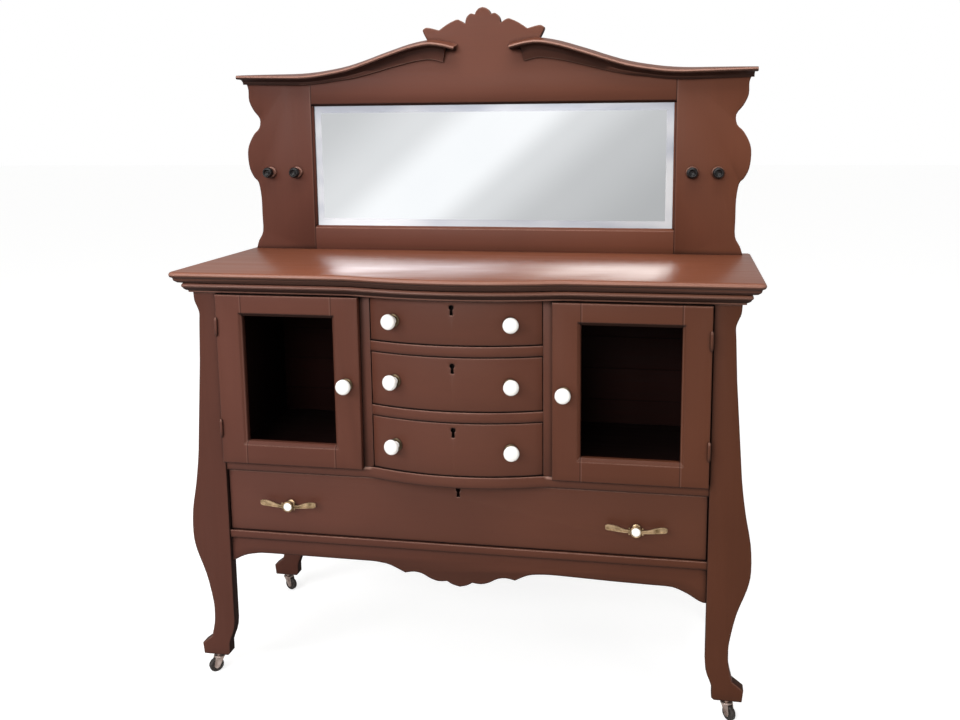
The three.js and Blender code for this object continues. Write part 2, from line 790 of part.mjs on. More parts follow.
// Mirror back
// Top line of a swan neck from its tip inwards, as distances off the middle; its inner end follows the
// crest to the left
function neckCurve(side) {
  return new THREE.SplineCurve(neckShares.map(([across, up]) => {
    return at(neckTipX * across + side * crestShift * (1 - across), neckTipZ + neckRise * up);
  }));
}

function neckHeightAt(line, x) {
  const i = line.findIndex((p) => p.x <= x);
  const [outer, inner] = [line[i - 1], line[i]];
  return THREE.MathUtils.mapLinear(x, outer.x, inner.x, outer.y, inner.y);
}

// The neck's top line between two places, from the outer one inwards
function neckBetween(side, outerX, innerX) {
  const line = neckCurve(side).getSpacedPoints(neckSteps);
  const middle = line.filter((p) => p.x < outerX && p.x > innerX);
  return [at(outerX, neckHeightAt(line, outerX)), ...middle, at(innerX, neckHeightAt(line, innerX))];
}

// The moulded lip that holds the glass, along one edge of the opening, as a section in (inward, depth)
const lipSection = [
  [-lipBevel, lipFrontStep], [0, lipFrontStep], [lipWidth - lipBevel / 2, lipFrontStep + lipBevel],
  [lipWidth, lipFrontStep + 2 * lipBevel], [lipWidth, lipDepth], [-lipBevel, lipDepth],
];

function upright(side) {
  const height = neckTipZ - topHeight;
  const place = ([across, up]) => at(uprightInnerX + uprightWidth * across, topHeight + height * up);
  const outer = smoothLine(uprightShares.map(place));
  const foot = [at(uprightInnerX, rebateFloor), at(uprightFootX, rebateFloor)];
  const outline = [...foot, ...outer, ...neckBetween(side, outer[outer.length - 1].x, uprightInnerX)];
  const board = plate(outline.map((p) => at(side * p.x, p.y)), frameFront, frameBack, 0);
  const section = lipSection.map(([inward, depth]) => {
    return at(side * (uprightInnerX - inward), frameFront + depth);
  });
  return joined(board, slab(section, sightBottom + lipWidth, sightTop - lipWidth, 0));
}

// A lip that runs across: drawn as a lying section and stood on end
function crossLip(edge, direction) {
  const section = lipSection.map(([inward, depth]) => at(frameFront + depth, edge + direction * inward));
  const geometry = new THREE.ExtrudeGeometry(new THREE.Shape(section), {
    depth: 2 * uprightInnerX,
    steps: 1,
    bevelEnabled: false,
  });
  geometry.applyMatrix4(new THREE.Matrix4().makeBasis(
    new THREE.Vector3(0, 1, 0),
    new THREE.Vector3(0, 0, 1),
    new THREE.Vector3(1, 0, 0),
  ));
  geometry.translate(-uprightInnerX, 0, 0);
  return geometry;
}

function mirrorRail() {
  const rail = bar(-uprightInnerX, uprightInnerX, frameFront, frameBack, rebateFloor, sightBottom);
  return joined(rail, crossLip(sightBottom, 1));
}

// One half of the crest board's upper edge: the neck's top line, then the leaves up to the middle
function crestEdge(side) {
  const start = crestHalf * crestShares[0][0][0] + side * crestShift;
  const place = ([across, up]) => {
    return at(crestHalf * across + side * crestShift, neckTipZ + neckRise + crestRise * up);
  };
  const leaves = crestShares.flatMap((run) => smoothLine(run.map(place)));
  return withoutRepeats([...neckBetween(side, uprightInnerX, start), ...leaves]);
}

function crestBoard() {
  const foot = at(uprightInnerX, sightTop);
  const outline = [foot, ...crestEdge(1), ...mirrored(crestEdge(-1)).slice(1), ...mirrored([foot])];
  return joined(plate(outline, frameFront, frameBack, 0), crossLip(sightTop, -1));
}

function mirrorGlass() {
  const half = uprightInnerX - touchGap;
  const z0 = sightBottom + touchGap;
  const z1 = sightTop - touchGap;
  // The bevel lets the glass come forward between the lips
  const bevelFall = glassThickness - glassEdgeThickness;
  const glassFront = frameFront + lipDepth + touchGap - bevelFall * (1 - lipWidth / glassBevel);
  const ring = (inset, y) => [
    new THREE.Vector3(-half + inset, y, z0 + inset), new THREE.Vector3(half - inset, y, z0 + inset),
    new THREE.Vector3(half - inset, y, z1 - inset), new THREE.Vector3(-half + inset, y, z1 - inset),
  ];
  const back = glassFront + glassThickness;
  const rings = [ring(0, back), ring(0, back - glassEdgeThickness), ring(glassBevel, glassFront)];
  const flat = (points) => points.map((p) => at(p.x, p.z));
  return loft(rings, flat(rings[0]), flat(rings[2]));
}

function mirrorBacking() {
  const half = uprightInnerX + backingLap;
  const back = frameBack + backingThickness;
  return bar(-half, half, frameBack, back, sightBottom - backingLap, sightTop + backingLap);
}

// Swan neck: a bullnosed cap whose top slopes more from the tip inwards, and a cove under it that grows
// towards the middle; each section is given as (drop, reach) off the top line
function sweptAlongNeck(side, startShare, endShare, sectionAt) {
  const curve = neckCurve(side);
  const rings = [];
  for (let i = 0; i <= neckSteps; i += 1) {
    const along = THREE.MathUtils.lerp(startShare, endShare, i / neckSteps);
    const point = curve.getPointAt(along);
    const tangent = curve.getTangentAt(along);
    const down = i === 0 ? at(0, -1) : at(-tangent.y, tangent.x);
    rings.push(sectionAt(along).map(([drop, reach]) => {
      const across = point.x + down.x * drop;
      return new THREE.Vector3(side * across, frameFront - reach, point.y + down.y * drop);
    }));
  }
  const flat = (along) => sectionAt(along).map(([drop, reach]) => at(drop, reach));
  return loft(rings, flat(startShare), flat(endShare));
}

function capDropAt(along) {
  return THREE.MathUtils.lerp(capEndDrop, capSlopeDrop, Math.min(along / capSlopeShare, 1));
}

function capSection(along) {
  const drop = capDropAt(along);
  const nose = [];
  for (let i = 0; i <= noseSteps; i += 1) {
    const angle = Math.PI * (i / noseSteps);
    nose.push([
      drop + capNoseRadius * (1 - Math.cos(angle)),
      capSlopeReach + capNoseRadius * Math.sin(angle),
    ]);
  }
  return [[0, 0], ...nose, [drop + 2 * capNoseRadius, 0]];
}

function coveSection(along) {
  const top = capDropAt(along) + 2 * capNoseRadius;
  const swell = THREE.MathUtils.mapLinear(along, coveSwellShare, coveEndShare, 0, 1);
  const height = THREE.MathUtils.lerp(coveOuterHeight, coveInnerHeight, THREE.MathUtils.clamp(swell, 0, 1));
  const curve = [];
  for (let i = 0; i <= cornerSteps; i += 1) {
    const angle = (Math.PI / 2) * (i / cornerSteps);
    curve.push([
      top + height * (1 - Math.cos(angle)),
      coveFoot + (coveReach - coveFoot) * (1 - Math.sin(angle)),
    ]);
  }
  return [[top - coveJoin, 0], [top - coveJoin, coveReach], ...curve, [top + height, 0]];
}

function swanNeck(side) {
  const cap = sweptAlongNeck(side, 0, 1, capSection);
  return joined(cap, sweptAlongNeck(side, coveStartShare, coveEndShare, coveSection));
}

// Casters, drawn with the stem on the Z axis and the wheel trailing towards +X
const cheekInner = wheelWidth / 2 + cheekGap;
const cheekOuter = cheekInner + cheekThickness;
const cupTop = casterHeight - cupGap;
const cupBottom = cupTop - cupThickness;

function cheekOutline() {
  const round = [];
  for (let i = 0; i <= noseSteps; i += 1) {
    const angle = -Math.PI * (i / noseSteps);
    round.push(at(wheelTrail + cheekRound * Math.cos(angle), wheelRadius + cheekRound * Math.sin(angle)));
  }
  const top = cupBottom + cupThickness / 2;
  return [at(-cheekTopHalf, top), at(cheekTopHalf, top), ...round];
}

function casterFork() {
  const cheeks = [-cheekOuter, cheekInner].map((front) => {
    return plate(cheekOutline(), front, front + cheekThickness, 0);
  });
  const cup = turned([
    [0, cupBottom], [cupRadius, cupBottom], [cupRadius, cupBottom + cupThickness / 2],
    [cupRadius - cupThickness / 2, cupTop], [neckRadius, cupTop], [neckRadius, casterHeight - touchGap],
    [stemRadius, casterHeight - touchGap], [stemRadius, casterHeight + stemLength],
    [0, casterHeight + stemLength],
  ], turnSteps);
  const axle = rod(axleRadius, -cheekOuter - axleHead, cheekOuter + axleHead, smallTurnSteps);
  axle.rotateX(Math.PI / 2);
  axle.translate(wheelTrail, 0, wheelRadius);
  return joined(...cheeks, cup, axle);
}

function casterWheel() {
  const bore = axleRadius + axleClearance;
  const half = wheelWidth / 2;
  const wheel = turned([
    [bore, -half], [wheelRadius - wheelEdge, -half], [wheelRadius, -half + wheelEdge],
    [wheelRadius, half - wheelEdge], [wheelRadius - wheelEdge, half], [bore, half], [bore, -half],
  ], turnSteps);
  wheel.rotateX(Math.PI / 2);
  wheel.translate(wheelTrail, 0, wheelRadius);
  return wheel;
}

function placedCaster(geometry, side, front, heading) {
  geometry.rotateZ(THREE.MathUtils.degToRad(heading));
  geometry.translate(side * casterX, front + legThickness / 2, 0);
  return geometry;
}

// The assembly
const sides = { left: -1, right: 1 };

function addMirrorPiece(name, geometry, look) {
  geometry.translate(mirrorShift, 0, 0);
  addPiece(name, geometry, look);
}

addPiece('top_board', topBoard(), 'top');
addPiece('top_moulding', mouldedBoard(), 'case');
addPiece('waist_board', waistBoard(), 'case');
addPiece('bottom_frame', bottomFrame(), 'case');
addPiece('drawer_divider_upper', divider(upperDividerTop), 'case');
addPiece('drawer_divider_lower', divider(lowerDividerTop), 'case');
addPiece('apron', apron(), 'case');
addPiece('back_boards', backBoards(), 'inside');
addPiece('long_drawer_front', longDrawerFront(), 'case');
addPiece('long_drawer_box', longDrawerBox(), 'drawerWood');

for (const drawer of smallDrawers) {
  addPiece(`${drawer.name}_front`, bowedDrawerFront(drawer), 'case');
  addPiece(`${drawer.name}_box`, smallDrawerBox(drawer), 'drawerWood');
}

for (const [hand, side] of Object.entries(sides)) {
  addPiece(`side_panel_${hand}`, sidePanel(side), 'case');
  addPiece(`partition_${hand}`, partition(side), 'case');
  addMirrorPiece(`upright_${hand}`, upright(side), 'case');
  addMirrorPiece(`swan_neck_${hand}`, swanNeck(side), 'case');
  addPiece(`door_${hand}`, door(side), 'case');
  const doorKnob = knob(knobRadius, knobReach, knobShares, turnSteps);
  const knobX = doorInnerX + doorStile * doorKnobShares[hand];
  facingForward(doorKnob, side * knobX, doorFront, (doorBottom + doorTop) / 2, 0);
  addPiece(`door_knob_${hand}`, doorKnob, 'porcelain');
  addPiece(`hinge_upper_${hand}`, hinge(side, doorTop - hingeFromDoorTop), 'case');
  addPiece(`hinge_lower_${hand}`, hinge(side, doorBottom + hingeFromDoorBottom), 'case');
  addPiece(`pull_${hand}`, pull(side, pullDrops[hand]), 'brass');
  for (const drawer of smallDrawers) {
    const height = (drawer.bottom + drawer.top) / 2;
    addPiece(`${drawer.name}_knob_${hand}`, drawerKnob(side, drawerKnobShares[hand], height), 'porcelain');
  }
  for (const [end, front] of Object.entries({ front: legFront, rear: rearLegFront })) {
    const heading = casterHeadings[`${end}_${hand}`];
    addPiece(`leg_${end}_${hand}`, leg(side, front), 'case');
    addPiece(`caster_fork_${end}_${hand}`, placedCaster(casterFork(), side, front, heading), 'steel');
    addPiece(`caster_wheel_${end}_${hand}`, placedCaster(casterWheel(), side, front, heading), 'wheel');
  }
}

addMirrorPiece('mirror_rail', mirrorRail(), 'case');
addMirrorPiece('crest_board', crestBoard(), 'case');
addMirrorPiece('mirror_glass', mirrorGlass(), 'mirror');
addMirrorPiece('mirror_backing', mirrorBacking(), 'inside');

for (const [place, x] of Object.entries(pegPlaces)) {
  const peg = knob(pegRadius, pegReach, pegShares, smallTurnSteps);
  addMirrorPiece(`peg_${place}`, facingForward(peg, x, frameFront, topHeight + pegHeight, 0), 'black');
}

export default chiffonier;
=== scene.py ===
import math

import bmesh
import bpy
from mathutils import Matrix, Vector


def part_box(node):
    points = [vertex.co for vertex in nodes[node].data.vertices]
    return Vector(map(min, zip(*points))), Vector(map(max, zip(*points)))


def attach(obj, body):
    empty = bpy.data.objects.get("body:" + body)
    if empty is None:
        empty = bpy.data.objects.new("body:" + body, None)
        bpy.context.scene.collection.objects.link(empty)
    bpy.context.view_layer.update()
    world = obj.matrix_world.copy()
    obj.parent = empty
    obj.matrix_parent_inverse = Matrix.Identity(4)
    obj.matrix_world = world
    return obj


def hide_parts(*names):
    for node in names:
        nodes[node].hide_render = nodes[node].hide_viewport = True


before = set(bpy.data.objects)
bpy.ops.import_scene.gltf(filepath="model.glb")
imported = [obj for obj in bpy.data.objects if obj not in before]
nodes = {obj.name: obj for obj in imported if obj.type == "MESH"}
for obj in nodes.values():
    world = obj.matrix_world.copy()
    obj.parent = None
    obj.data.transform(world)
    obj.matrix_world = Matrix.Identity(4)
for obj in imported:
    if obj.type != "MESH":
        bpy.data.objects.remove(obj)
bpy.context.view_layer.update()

# Camera, fitted to the photograph's straight edges
CAMERA_PLACE = (0.441242, -2.072564, 1.206053)
CAMERA_YAW = 0.176840244
CAMERA_PITCH = 0.159500607
CAMERA_ROLL = 0.007294272
FOCAL_PIXELS = 977.66757
PRINCIPAL_PIXEL = (504.54424, 285.57793)
IMAGE_SIZE = (960, 720)
SENSOR_WIDTH = 36
CAMERA_SIGHT = 100

# Colours, linear
PAINT = (0.094, 0.0315, 0.0205)
# Tones the paint turns to at the right: painted shade on the case, painted light on the mirror frame
PAINT_RIGHT_SHADE = (0.086, 0.0262, 0.0112)
FRAME_RIGHT_LIGHT = (0.108, 0.035, 0.0175)
# Light paint for worn edges and for painted highlights on edges, noses and arrises
PAINT_WEAR_AND_HIGHLIGHT = (0.34, 0.19, 0.145)
PAINT_DARK = (0.026, 0.009, 0.006)
# Near black for painted shade along edges, in gaps and corners and on the legs' inner faces
PAINT_SHADE_BLACK = (0.008, 0.003, 0.002)
TOP_PAINT = (0.175, 0.054, 0.026)
# The top's light paint for its worn edges and its painted highlights
TOP_WEAR_AND_HIGHLIGHT = (0.36, 0.21, 0.165)
# Dark stain of the case's inside, which also stands in for the shade in there
STAIN_AND_SHADE = (0.015, 0.0035, 0.0025)
OUTER_STAIN = (0.060, 0.028, 0.016)
BARE_WOOD = (0.27, 0.15, 0.075)
BARE_WOOD_DARK = (0.15, 0.075, 0.035)
WOOD_GRIME = (0.06, 0.03, 0.016)
JOINT_DARK = (0.003, 0.0015, 0.001)
PORCELAIN = (0.90, 0.89, 0.855)
# The mirror bevel's whitish tone, a painted reflection, and the darker tone that clouds it
BEVEL_SHEEN = (0.86, 0.865, 0.88)
BEVEL_SHADED = (0.55, 0.575, 0.64)
BRASS = (0.80, 0.57, 0.35)
BRASS_DARK = (0.10, 0.060, 0.022)
COLLAR = (0.22, 0.16, 0.09)
COLLAR_DARK = (0.035, 0.024, 0.015)
BLACK = (0.006, 0.005, 0.005)
SILVERING = (0.80, 0.82, 0.83)
SILVERING_HAZE = (0.72, 0.75, 0.76)
PLATED = (0.66, 0.54, 0.48)
PLATED_DARK = (0.17, 0.11, 0.09)
WHEEL = (0.013, 0.009, 0.007)
TREAD = (0.15, 0.135, 0.125)
FLOOR = (0.60, 0.60, 0.595)

# The stain of the case's inside, which also stands in for the shade in there, reaches this far into its
# walls, its floor and its back, and the outer paint turns this far round the partitions' front edges
STAIN_AND_SHADE_IN_WALL = 0.0002
STAIN_AND_SHADE_IN_FLOOR = 0.0005
STAIN_AND_SHADE_IN_BACK = 0.002
PAINT_TURN = 0.006
INSIDE_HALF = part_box("side_panel_right")[0].x + STAIN_AND_SHADE_IN_WALL
INSIDE_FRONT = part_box("partition_left")[0].y + PAINT_TURN
INSIDE_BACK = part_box("back_boards")[0].y + STAIN_AND_SHADE_IN_BACK
INSIDE_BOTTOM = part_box("bottom_frame")[0].z - STAIN_AND_SHADE_IN_FLOOR
INSIDE_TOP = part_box("top_moulding")[0].z + STAIN_AND_SHADE_IN_WALL

# The back boards: one board's height, the height that their joints are counted from, and the depth from
# which they are outer faces
BOARD_HEIGHT = 0.0770
BOARDS_FROM = 0.0995
BOARD_STAIN_DEPTH = 0.006
OUTER_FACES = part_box("back_boards")[0].y + BOARD_STAIN_DEPTH

# Joint lines, off the middle: the inner edges of a door's two stiles, and of the mirror's uprights
DOOR_STILE = 0.057
door_low, door_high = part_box("door_right")
rail_low, rail_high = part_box("mirror_rail")
STILE_EDGES = (door_low.x + DOOR_STILE, door_high.x - DOOR_STILE)
FRAME_SEAMS = ((rail_high.x - rail_low.x) / 2,)
FRAME_SHIFT = (rail_high.x + rail_low.x) / 2
# A joint's dark line and the painted highlight on the arris beside it: half width at the foot and at full
# strength
SEAM_DARK = (0.0014, 0.0007)
SEAM_HIGHLIGHT = (0.0013, 0.0006)
SEAM_HIGHLIGHT_OFF = 0.0024

# Edges: how far they are rounded, how far their wear with its painted highlight reaches, how far the painted
# highlight of upper edges and the painted shade of lower and side edges reach, and how far painted shade and
# grime reach out of a corner
EDGE_ROUND = 0.0007
WEAR_AND_HIGHLIGHT_REACH = 0.0024
EDGE_LIGHT_AND_SHADE_REACH = 0.0040
CORNER_SHADE_AND_GRIME_REACH = 0.016
WOOD_GRIME_REACH = 0.003
TREAD_REACH = 0.0022
BRASS_REACH = 0.0012
PLATED_REACH = 0.0009
COLLAR_REACH = 0.0006

# Paint: from where to where across the front it turns to its right side's tone, painted shade on the case and
# painted light on the mirror frame, its tone from patch to patch, and the shares of what marks it, painted
# highlights and painted shade among them
RIGHT_SIDE_LIGHT_SPAN = (-0.45, 0.6)
PATCH_SHARES = (0.84, 1.01)
BRUSH_SHARE = 0.16
UPPER_EDGE_HIGHLIGHT_SHARE = 0.4
SIDE_EDGE_SHADE_SHARE = 0.4
LOWER_EDGE_SHADE_SHARE = 0.85
LOWER_NOSE_HIGHLIGHT_SHARE = 0.35
SPECK_SHARE = 0.35
SEAM_DARK_SHARE = 0.62
SEAM_HIGHLIGHT_SHARE = 0.13
INNER_FACE_SHADE_SHARE = 0.8
# Openness at which a corner is full of painted shade and grime and at which it is free of both, and at which
# a gap's painted shade begins and is black: on plain faces, and on mouldings and lips
CORNER_SHADE_AND_GRIME_SPAN = (0.38, 0.85)
GAP_SHADE_SPAN = (0.45, 0.25)
FINE_CORNER_SHADE_AND_GRIME_SPAN = (0.10, 0.50)
FINE_GAP_SHADE_SPAN = (0.20, 0.08)
# Share of the paint's colour left where the painted shade is deepest
DEEPEST_SHADE_LEVEL = 0.20
# Lean of a face, as its normal's share of Z, at which it gets painted shade as an underside and at which it
# doesn't
UNDERSIDE_SHADE_SPAN = (-0.5, -0.05)
# How much rougher the inside's stain and the grime are than the paint
STAIN_ROUGHER = 0.28
GRIME_ROUGHER = 0.35
# Height of a brush mark or a grain line that is in relief
BRUSH_RELIEF = 0.00022
BOARD_RELIEF = 0.0006
GRAIN_RELIEF = 0.0004
METAL_RELIEF = 0.0002
GLAZE_RELIEF = 0.0001
# Samples that find a surface's edges and its corners
EDGE_SAMPLES = 4
CORNER_SAMPLES = 8


# Materials
class Surface:
    """A material with a Principled shader, and short calls for the nodes that feed it."""

    def __init__(self, name):
        self.material = bpy.data.materials.new(name)
        self.material.use_nodes = True
        self.tree = self.material.node_tree
        self.tree.nodes.clear()
        self.shader = self.add("ShaderNodeBsdfPrincipled")
        output = self.add("ShaderNodeOutputMaterial")
        self.link(self.shader.outputs[0], output.inputs[0])

    def add(self, kind, **settings):
        node = self.tree.nodes.new(kind)
        for key, value in settings.items():
            setattr(node, key, value)
        return node

    def link(self, source, target):
        self.tree.links.new(source, target)

    def feed(self, node, index, value):
        """A socket gets a link from another socket, or a plain value."""
        if isinstance(value, bpy.types.NodeSocket):
            self.link(value, node.inputs[index])
        else:
            node.inputs[index].default_value = value

    def math(self, operation, a, b=0.0, c=0.0):
        node = self.add("ShaderNodeMath", operation=operation)
        for index, value in enumerate((a, b, c)):
            self.feed(node, index, value)
        return node.outputs[0]

    def place(self):
        return self.add("ShaderNodeTexCoord").outputs["Object"]

    def stretched(self, scale):
        node = self.add("ShaderNodeMapping")
        self.link(self.place(), node.inputs["Vector"])
        node.inputs["Scale"].default_value = scale
        return node.outputs[0]

    def axes(self):
        node = self.add("ShaderNodeSeparateXYZ")
        self.link(self.place(), node.inputs[0])
        return node.outputs

    def noise(self, scale, detail=3.0, roughness=0.55, distortion=0.0):
        """Noise in space; scale is one number, or three for a stretched one."""
        spread = scale if isinstance(scale, tuple) else (scale,) * 3
        node = self.add("ShaderNodeTexNoise")
        self.link(self.stretched(spread), node.inputs["Vector"])
        node.inputs["Scale"].default_value = 1.0
        node.inputs["Detail"].default_value = detail
        node.inputs["Roughness"].default_value = roughness
        node.inputs["Distortion"].default_value = distortion
        return node.outputs[0]

    def span(self, value, low, high, to_low=0.0, to_high=1.0):
        node = self.add("ShaderNodeMapRange")
        for index, item in enumerate((value, low, high, to_low, to_high)):
            self.feed(node, index, item)
        return node.outputs[0]

    def mix(self, share, a, b, blend="MIX"):
        node = self.add("ShaderNodeMix", data_type="RGBA", blend_type=blend)
        self.feed(node, 0, share)
        for index, value in ((6, a), (7, b)):
            self.feed(node, index, (*value, 1) if isinstance(value, tuple) else value)
        return node.outputs[2]

    def grey(self, value):
        node = self.add("ShaderNodeCombineColor")
        for index in range(3):
            self.feed(node, index, value)
        return node.outputs[0]

    def rounded(self, reach):
        """The surface's own normal, and the same as if its edges were rounded that far."""
        bevel = self.add("ShaderNodeBevel", samples=EDGE_SAMPLES)
        bevel.inputs["Radius"].default_value = reach
        return self.add("ShaderNodeNewGeometry").outputs["Normal"], bevel.outputs[0]

    def edges(self, reach, sharpness=0.12):
        """1 along a piece's edges, falling to 0 on its faces."""
        dot = self.add("ShaderNodeVectorMath", operation="DOT_PRODUCT")
        for index, normal in enumerate(self.rounded(reach)):
            self.link(normal, dot.inputs[index])
        return self.span(dot.outputs["Value"], 1.0, 1.0 - sharpness)

    def normal_axes(self, normal=None):
        parts = self.add("ShaderNodeSeparateXYZ")
        self.link(normal or self.add("ShaderNodeNewGeometry").outputs["Normal"], parts.inputs[0])
        return parts.outputs

    def level_edges(self, reach):
        """Three values along an upright face: 1 at its upper edge, its lower edge and its side edges."""
        plain, bevelled = (self.normal_axes(normal) for normal in self.rounded(reach))
        lean = self.math("SUBTRACT", bevelled[2], plain[2])
        turn = self.math("ABSOLUTE", self.math("SUBTRACT", bevelled[0], plain[0]))
        upright = self.math("LESS_THAN", self.math("ABSOLUTE", plain[2]), 0.5)
        upper = self.span(lean, 0.05, 0.30)
        lower = self.span(lean, -0.03, -0.20)
        side = self.span(turn, 0.08, 0.40)
        return [self.math("MULTIPLY", share, upright) for share in (upper, lower, side)]

    def faces_up(self, low, high):
        """0 where a face leans down to low, 1 from high upwards, by its normal's share of Z."""
        return self.span(self.normal_axes()[2], low, high)

    def nose_highlight(self):
        """1 on the forward part of a rounded moulding, away from its top and from its hollow."""
        up = self.normal_axes()[2]
        return self.math("MULTIPLY", self.span(up, -0.20, 0.15), self.span(up, 0.93, 0.60))

    def inner_faces(self):
        """1 on the faces of a plank that look to the middle of the case, up or down."""
        x, _, _ = self.axes()
        across, ahead, _ = self.normal_axes()
        outward = self.math("MULTIPLY", across, self.math("SIGN", x))
        return self.math("MULTIPLY", self.span(self.math("ABSOLUTE", ahead), 0.7, 0.3),
                         self.span(outward, 0.9, 0.6))

    def openness(self, reach):
        """0 deep in a gap, about a half in a corner, 1 in the open."""
        node = self.add("ShaderNodeAmbientOcclusion", samples=CORNER_SAMPLES)
        node.inputs["Distance"].default_value = reach
        return node.outputs["AO"]

    def bump(self, height, distance, strength=1.0):
        node = self.add("ShaderNodeBump")
        node.inputs["Strength"].default_value = strength
        node.inputs["Distance"].default_value = distance
        self.link(height, node.inputs["Height"])
        self.link(node.outputs[0], self.shader.inputs["Normal"])


def inside_share(s):
    """1 in the hollow of the case, whose walls are stained and not painted; the dark stain also stands in for
    the shade in there.
    """
    x, y, z = s.axes()
    share = s.math("LESS_THAN", s.math("ABSOLUTE", x), INSIDE_HALF)
    for test, value, limit in (("GREATER_THAN", y, INSIDE_FRONT), ("LESS_THAN", y, INSIDE_BACK),
                               ("GREATER_THAN", z, INSIDE_BOTTOM), ("LESS_THAN", z, INSIDE_TOP)):
        share = s.math("MULTIPLY", share, s.math(test, value, limit))
    return share


# Marks to a metre along and across a brush stroke, by the axis that it is drawn along
STREAKS = {"x": (5.0, 260.0, 260.0), "z": (260.0, 260.0, 5.0)}
BROAD = {"x": (1.6, 34.0, 34.0), "z": (34.0, 34.0, 1.6)}


def brushing(s, along):
    """Marks of a brush drawn along one axis: fine hairs and broader sweeps."""
    fine = s.noise(STREAKS[along], 2.0, 0.6)
    broad = s.noise(BROAD[along], 2.0, 0.5, 0.3)
    return s.math("MULTIPLY_ADD", fine, 0.6, s.math("MULTIPLY", broad, 0.4))


def door_brushing(s):
    """Along Z on the stiles and along X on the rails."""
    x, _, _ = s.axes()
    across = s.math("ABSOLUTE", x)
    on_rail = s.math("MULTIPLY", s.math("GREATER_THAN", across, STILE_EDGES[0]),
                     s.math("LESS_THAN", across, STILE_EDGES[1]))
    node = s.add("ShaderNodeMix", data_type="FLOAT")
    s.feed(node, 0, on_rail)
    s.feed(node, 2, brushing(s, "z"))
    s.feed(node, 3, brushing(s, "x"))
    return node.outputs[0]


def seam_lines(s, places, shift=0.0):
    """Joint lines across X: a dark one at each place, and a painted highlight on the arris beside it."""
    x, _, _ = s.axes()
    across = s.math("ABSOLUTE", s.math("SUBTRACT", x, shift))
    dark = painted_light = 0.0
    for place in places:
        off = s.math("SUBTRACT", across, place)
        dark = s.math("ADD", s.span(s.math("ABSOLUTE", off), *SEAM_DARK), dark)
        beside = s.math("ABSOLUTE", s.math("SUBTRACT", off, SEAM_HIGHLIGHT_OFF))
        painted_light = s.math("ADD", s.span(beside, *SEAM_HIGHLIGHT), painted_light)
    return dark, painted_light


def paint_tone(s, marks, base, right_side_tone, shade):
    """The paint's colour, in patches and brush marks; the plain paint turns to its right side's tone, painted
    shade on the case and painted light on the mirror frame.
    """
    if base is PAINT:
        x, _, _ = s.axes()
        base = s.mix(s.span(x, *RIGHT_SIDE_LIGHT_SPAN), PAINT, right_side_tone)
    patches = s.span(s.noise(3.2, 2.0, 0.5), 0.3, 0.7, *(share * shade for share in PATCH_SHARES))
    tone = s.math("MULTIPLY_ADD", marks, BRUSH_SHARE, patches)
    return s.mix(1.0, base, s.grey(tone), "MULTIPLY")


def edge_wear_and_painted_light(s, colour, worn_and_lit, wear, nose_highlight):
    """Paint worn through along its edges, which is also a painted highlight, with painted highlights on its
    upper edges and noses, and painted shade along its side and lower edges; on a moulding the lower edges get
    a painted highlight instead.
    """
    broken = s.span(s.noise(38.0, 3.0), 0.30, 0.62, 0.25, 1.0)
    # Worn edges, which also paint a highlight along them
    worn_and_lit_edges = s.math("MULTIPLY", s.edges(WEAR_AND_HIGHLIGHT_REACH), broken)
    colour = s.mix(s.math("MULTIPLY", worn_and_lit_edges, wear), colour, worn_and_lit)
    # Painted highlight on upper edges, painted shade on side and lower edges
    upper, lower, side = s.level_edges(EDGE_LIGHT_AND_SHADE_REACH)
    colour = s.mix(s.math("MULTIPLY", side, SIDE_EDGE_SHADE_SHARE), colour, PAINT_SHADE_BLACK)
    upper_highlight_share = s.math("MULTIPLY_ADD", broken, UPPER_EDGE_HIGHLIGHT_SHARE, UPPER_EDGE_HIGHLIGHT_SHARE)
    colour = s.mix(s.math("MULTIPLY", upper, upper_highlight_share), colour, worn_and_lit)
    # Painted highlight on a moulding's nose, and on its lower edges
    if nose_highlight:
        colour = s.mix(s.math("MULTIPLY", s.nose_highlight(), nose_highlight), colour, worn_and_lit)
        return s.mix(s.math("MULTIPLY", lower, LOWER_NOSE_HIGHLIGHT_SHARE), colour, worn_and_lit)
    return s.mix(s.math("MULTIPLY", lower, LOWER_EDGE_SHADE_SHARE), colour, PAINT_SHADE_BLACK)


def corner_shade_and_grime(s, colour, fine):
    """Paint darkened in its corners and on its undersides and black in its gaps, all painted shade, and how
    open each spot is, a share that also makes grimy corners rougher.
    """
    openness = s.openness(CORNER_SHADE_AND_GRIME_REACH)
    # Spans of the corners' painted shade and grime, and of the gaps' painted shade
    grime, gap = (FINE_CORNER_SHADE_AND_GRIME_SPAN, FINE_GAP_SHADE_SPAN) if fine else (CORNER_SHADE_AND_GRIME_SPAN, GAP_SHADE_SPAN)
    lit_and_clean = s.math("MULTIPLY", s.span(openness, *grime), s.faces_up(*UNDERSIDE_SHADE_SPAN))
    colour = s.mix(s.span(openness, *gap), colour, PAINT_SHADE_BLACK)
    painted_light = s.math("MULTIPLY_ADD", lit_and_clean, 1 - DEEPEST_SHADE_LEVEL, DEEPEST_SHADE_LEVEL)
    return s.mix(1.0, colour, s.grey(painted_light), "MULTIPLY"), lit_and_clean


def stained_and_shaded_inside(s, colour):
    """The dark stain of the case's inside, which also stands in for the shade in there, over a colour, and
    where it lies.
    """
    grain = s.math("MULTIPLY_ADD", s.noise((9.0, 60.0, 60.0), 3.0), 0.35, 0.8)
    stain_and_shade = s.mix(1.0, STAIN_AND_SHADE, s.grey(grain), "MULTIPLY")
    inside = inside_share(s)
    return s.mix(inside, colour, stain_and_shade), inside


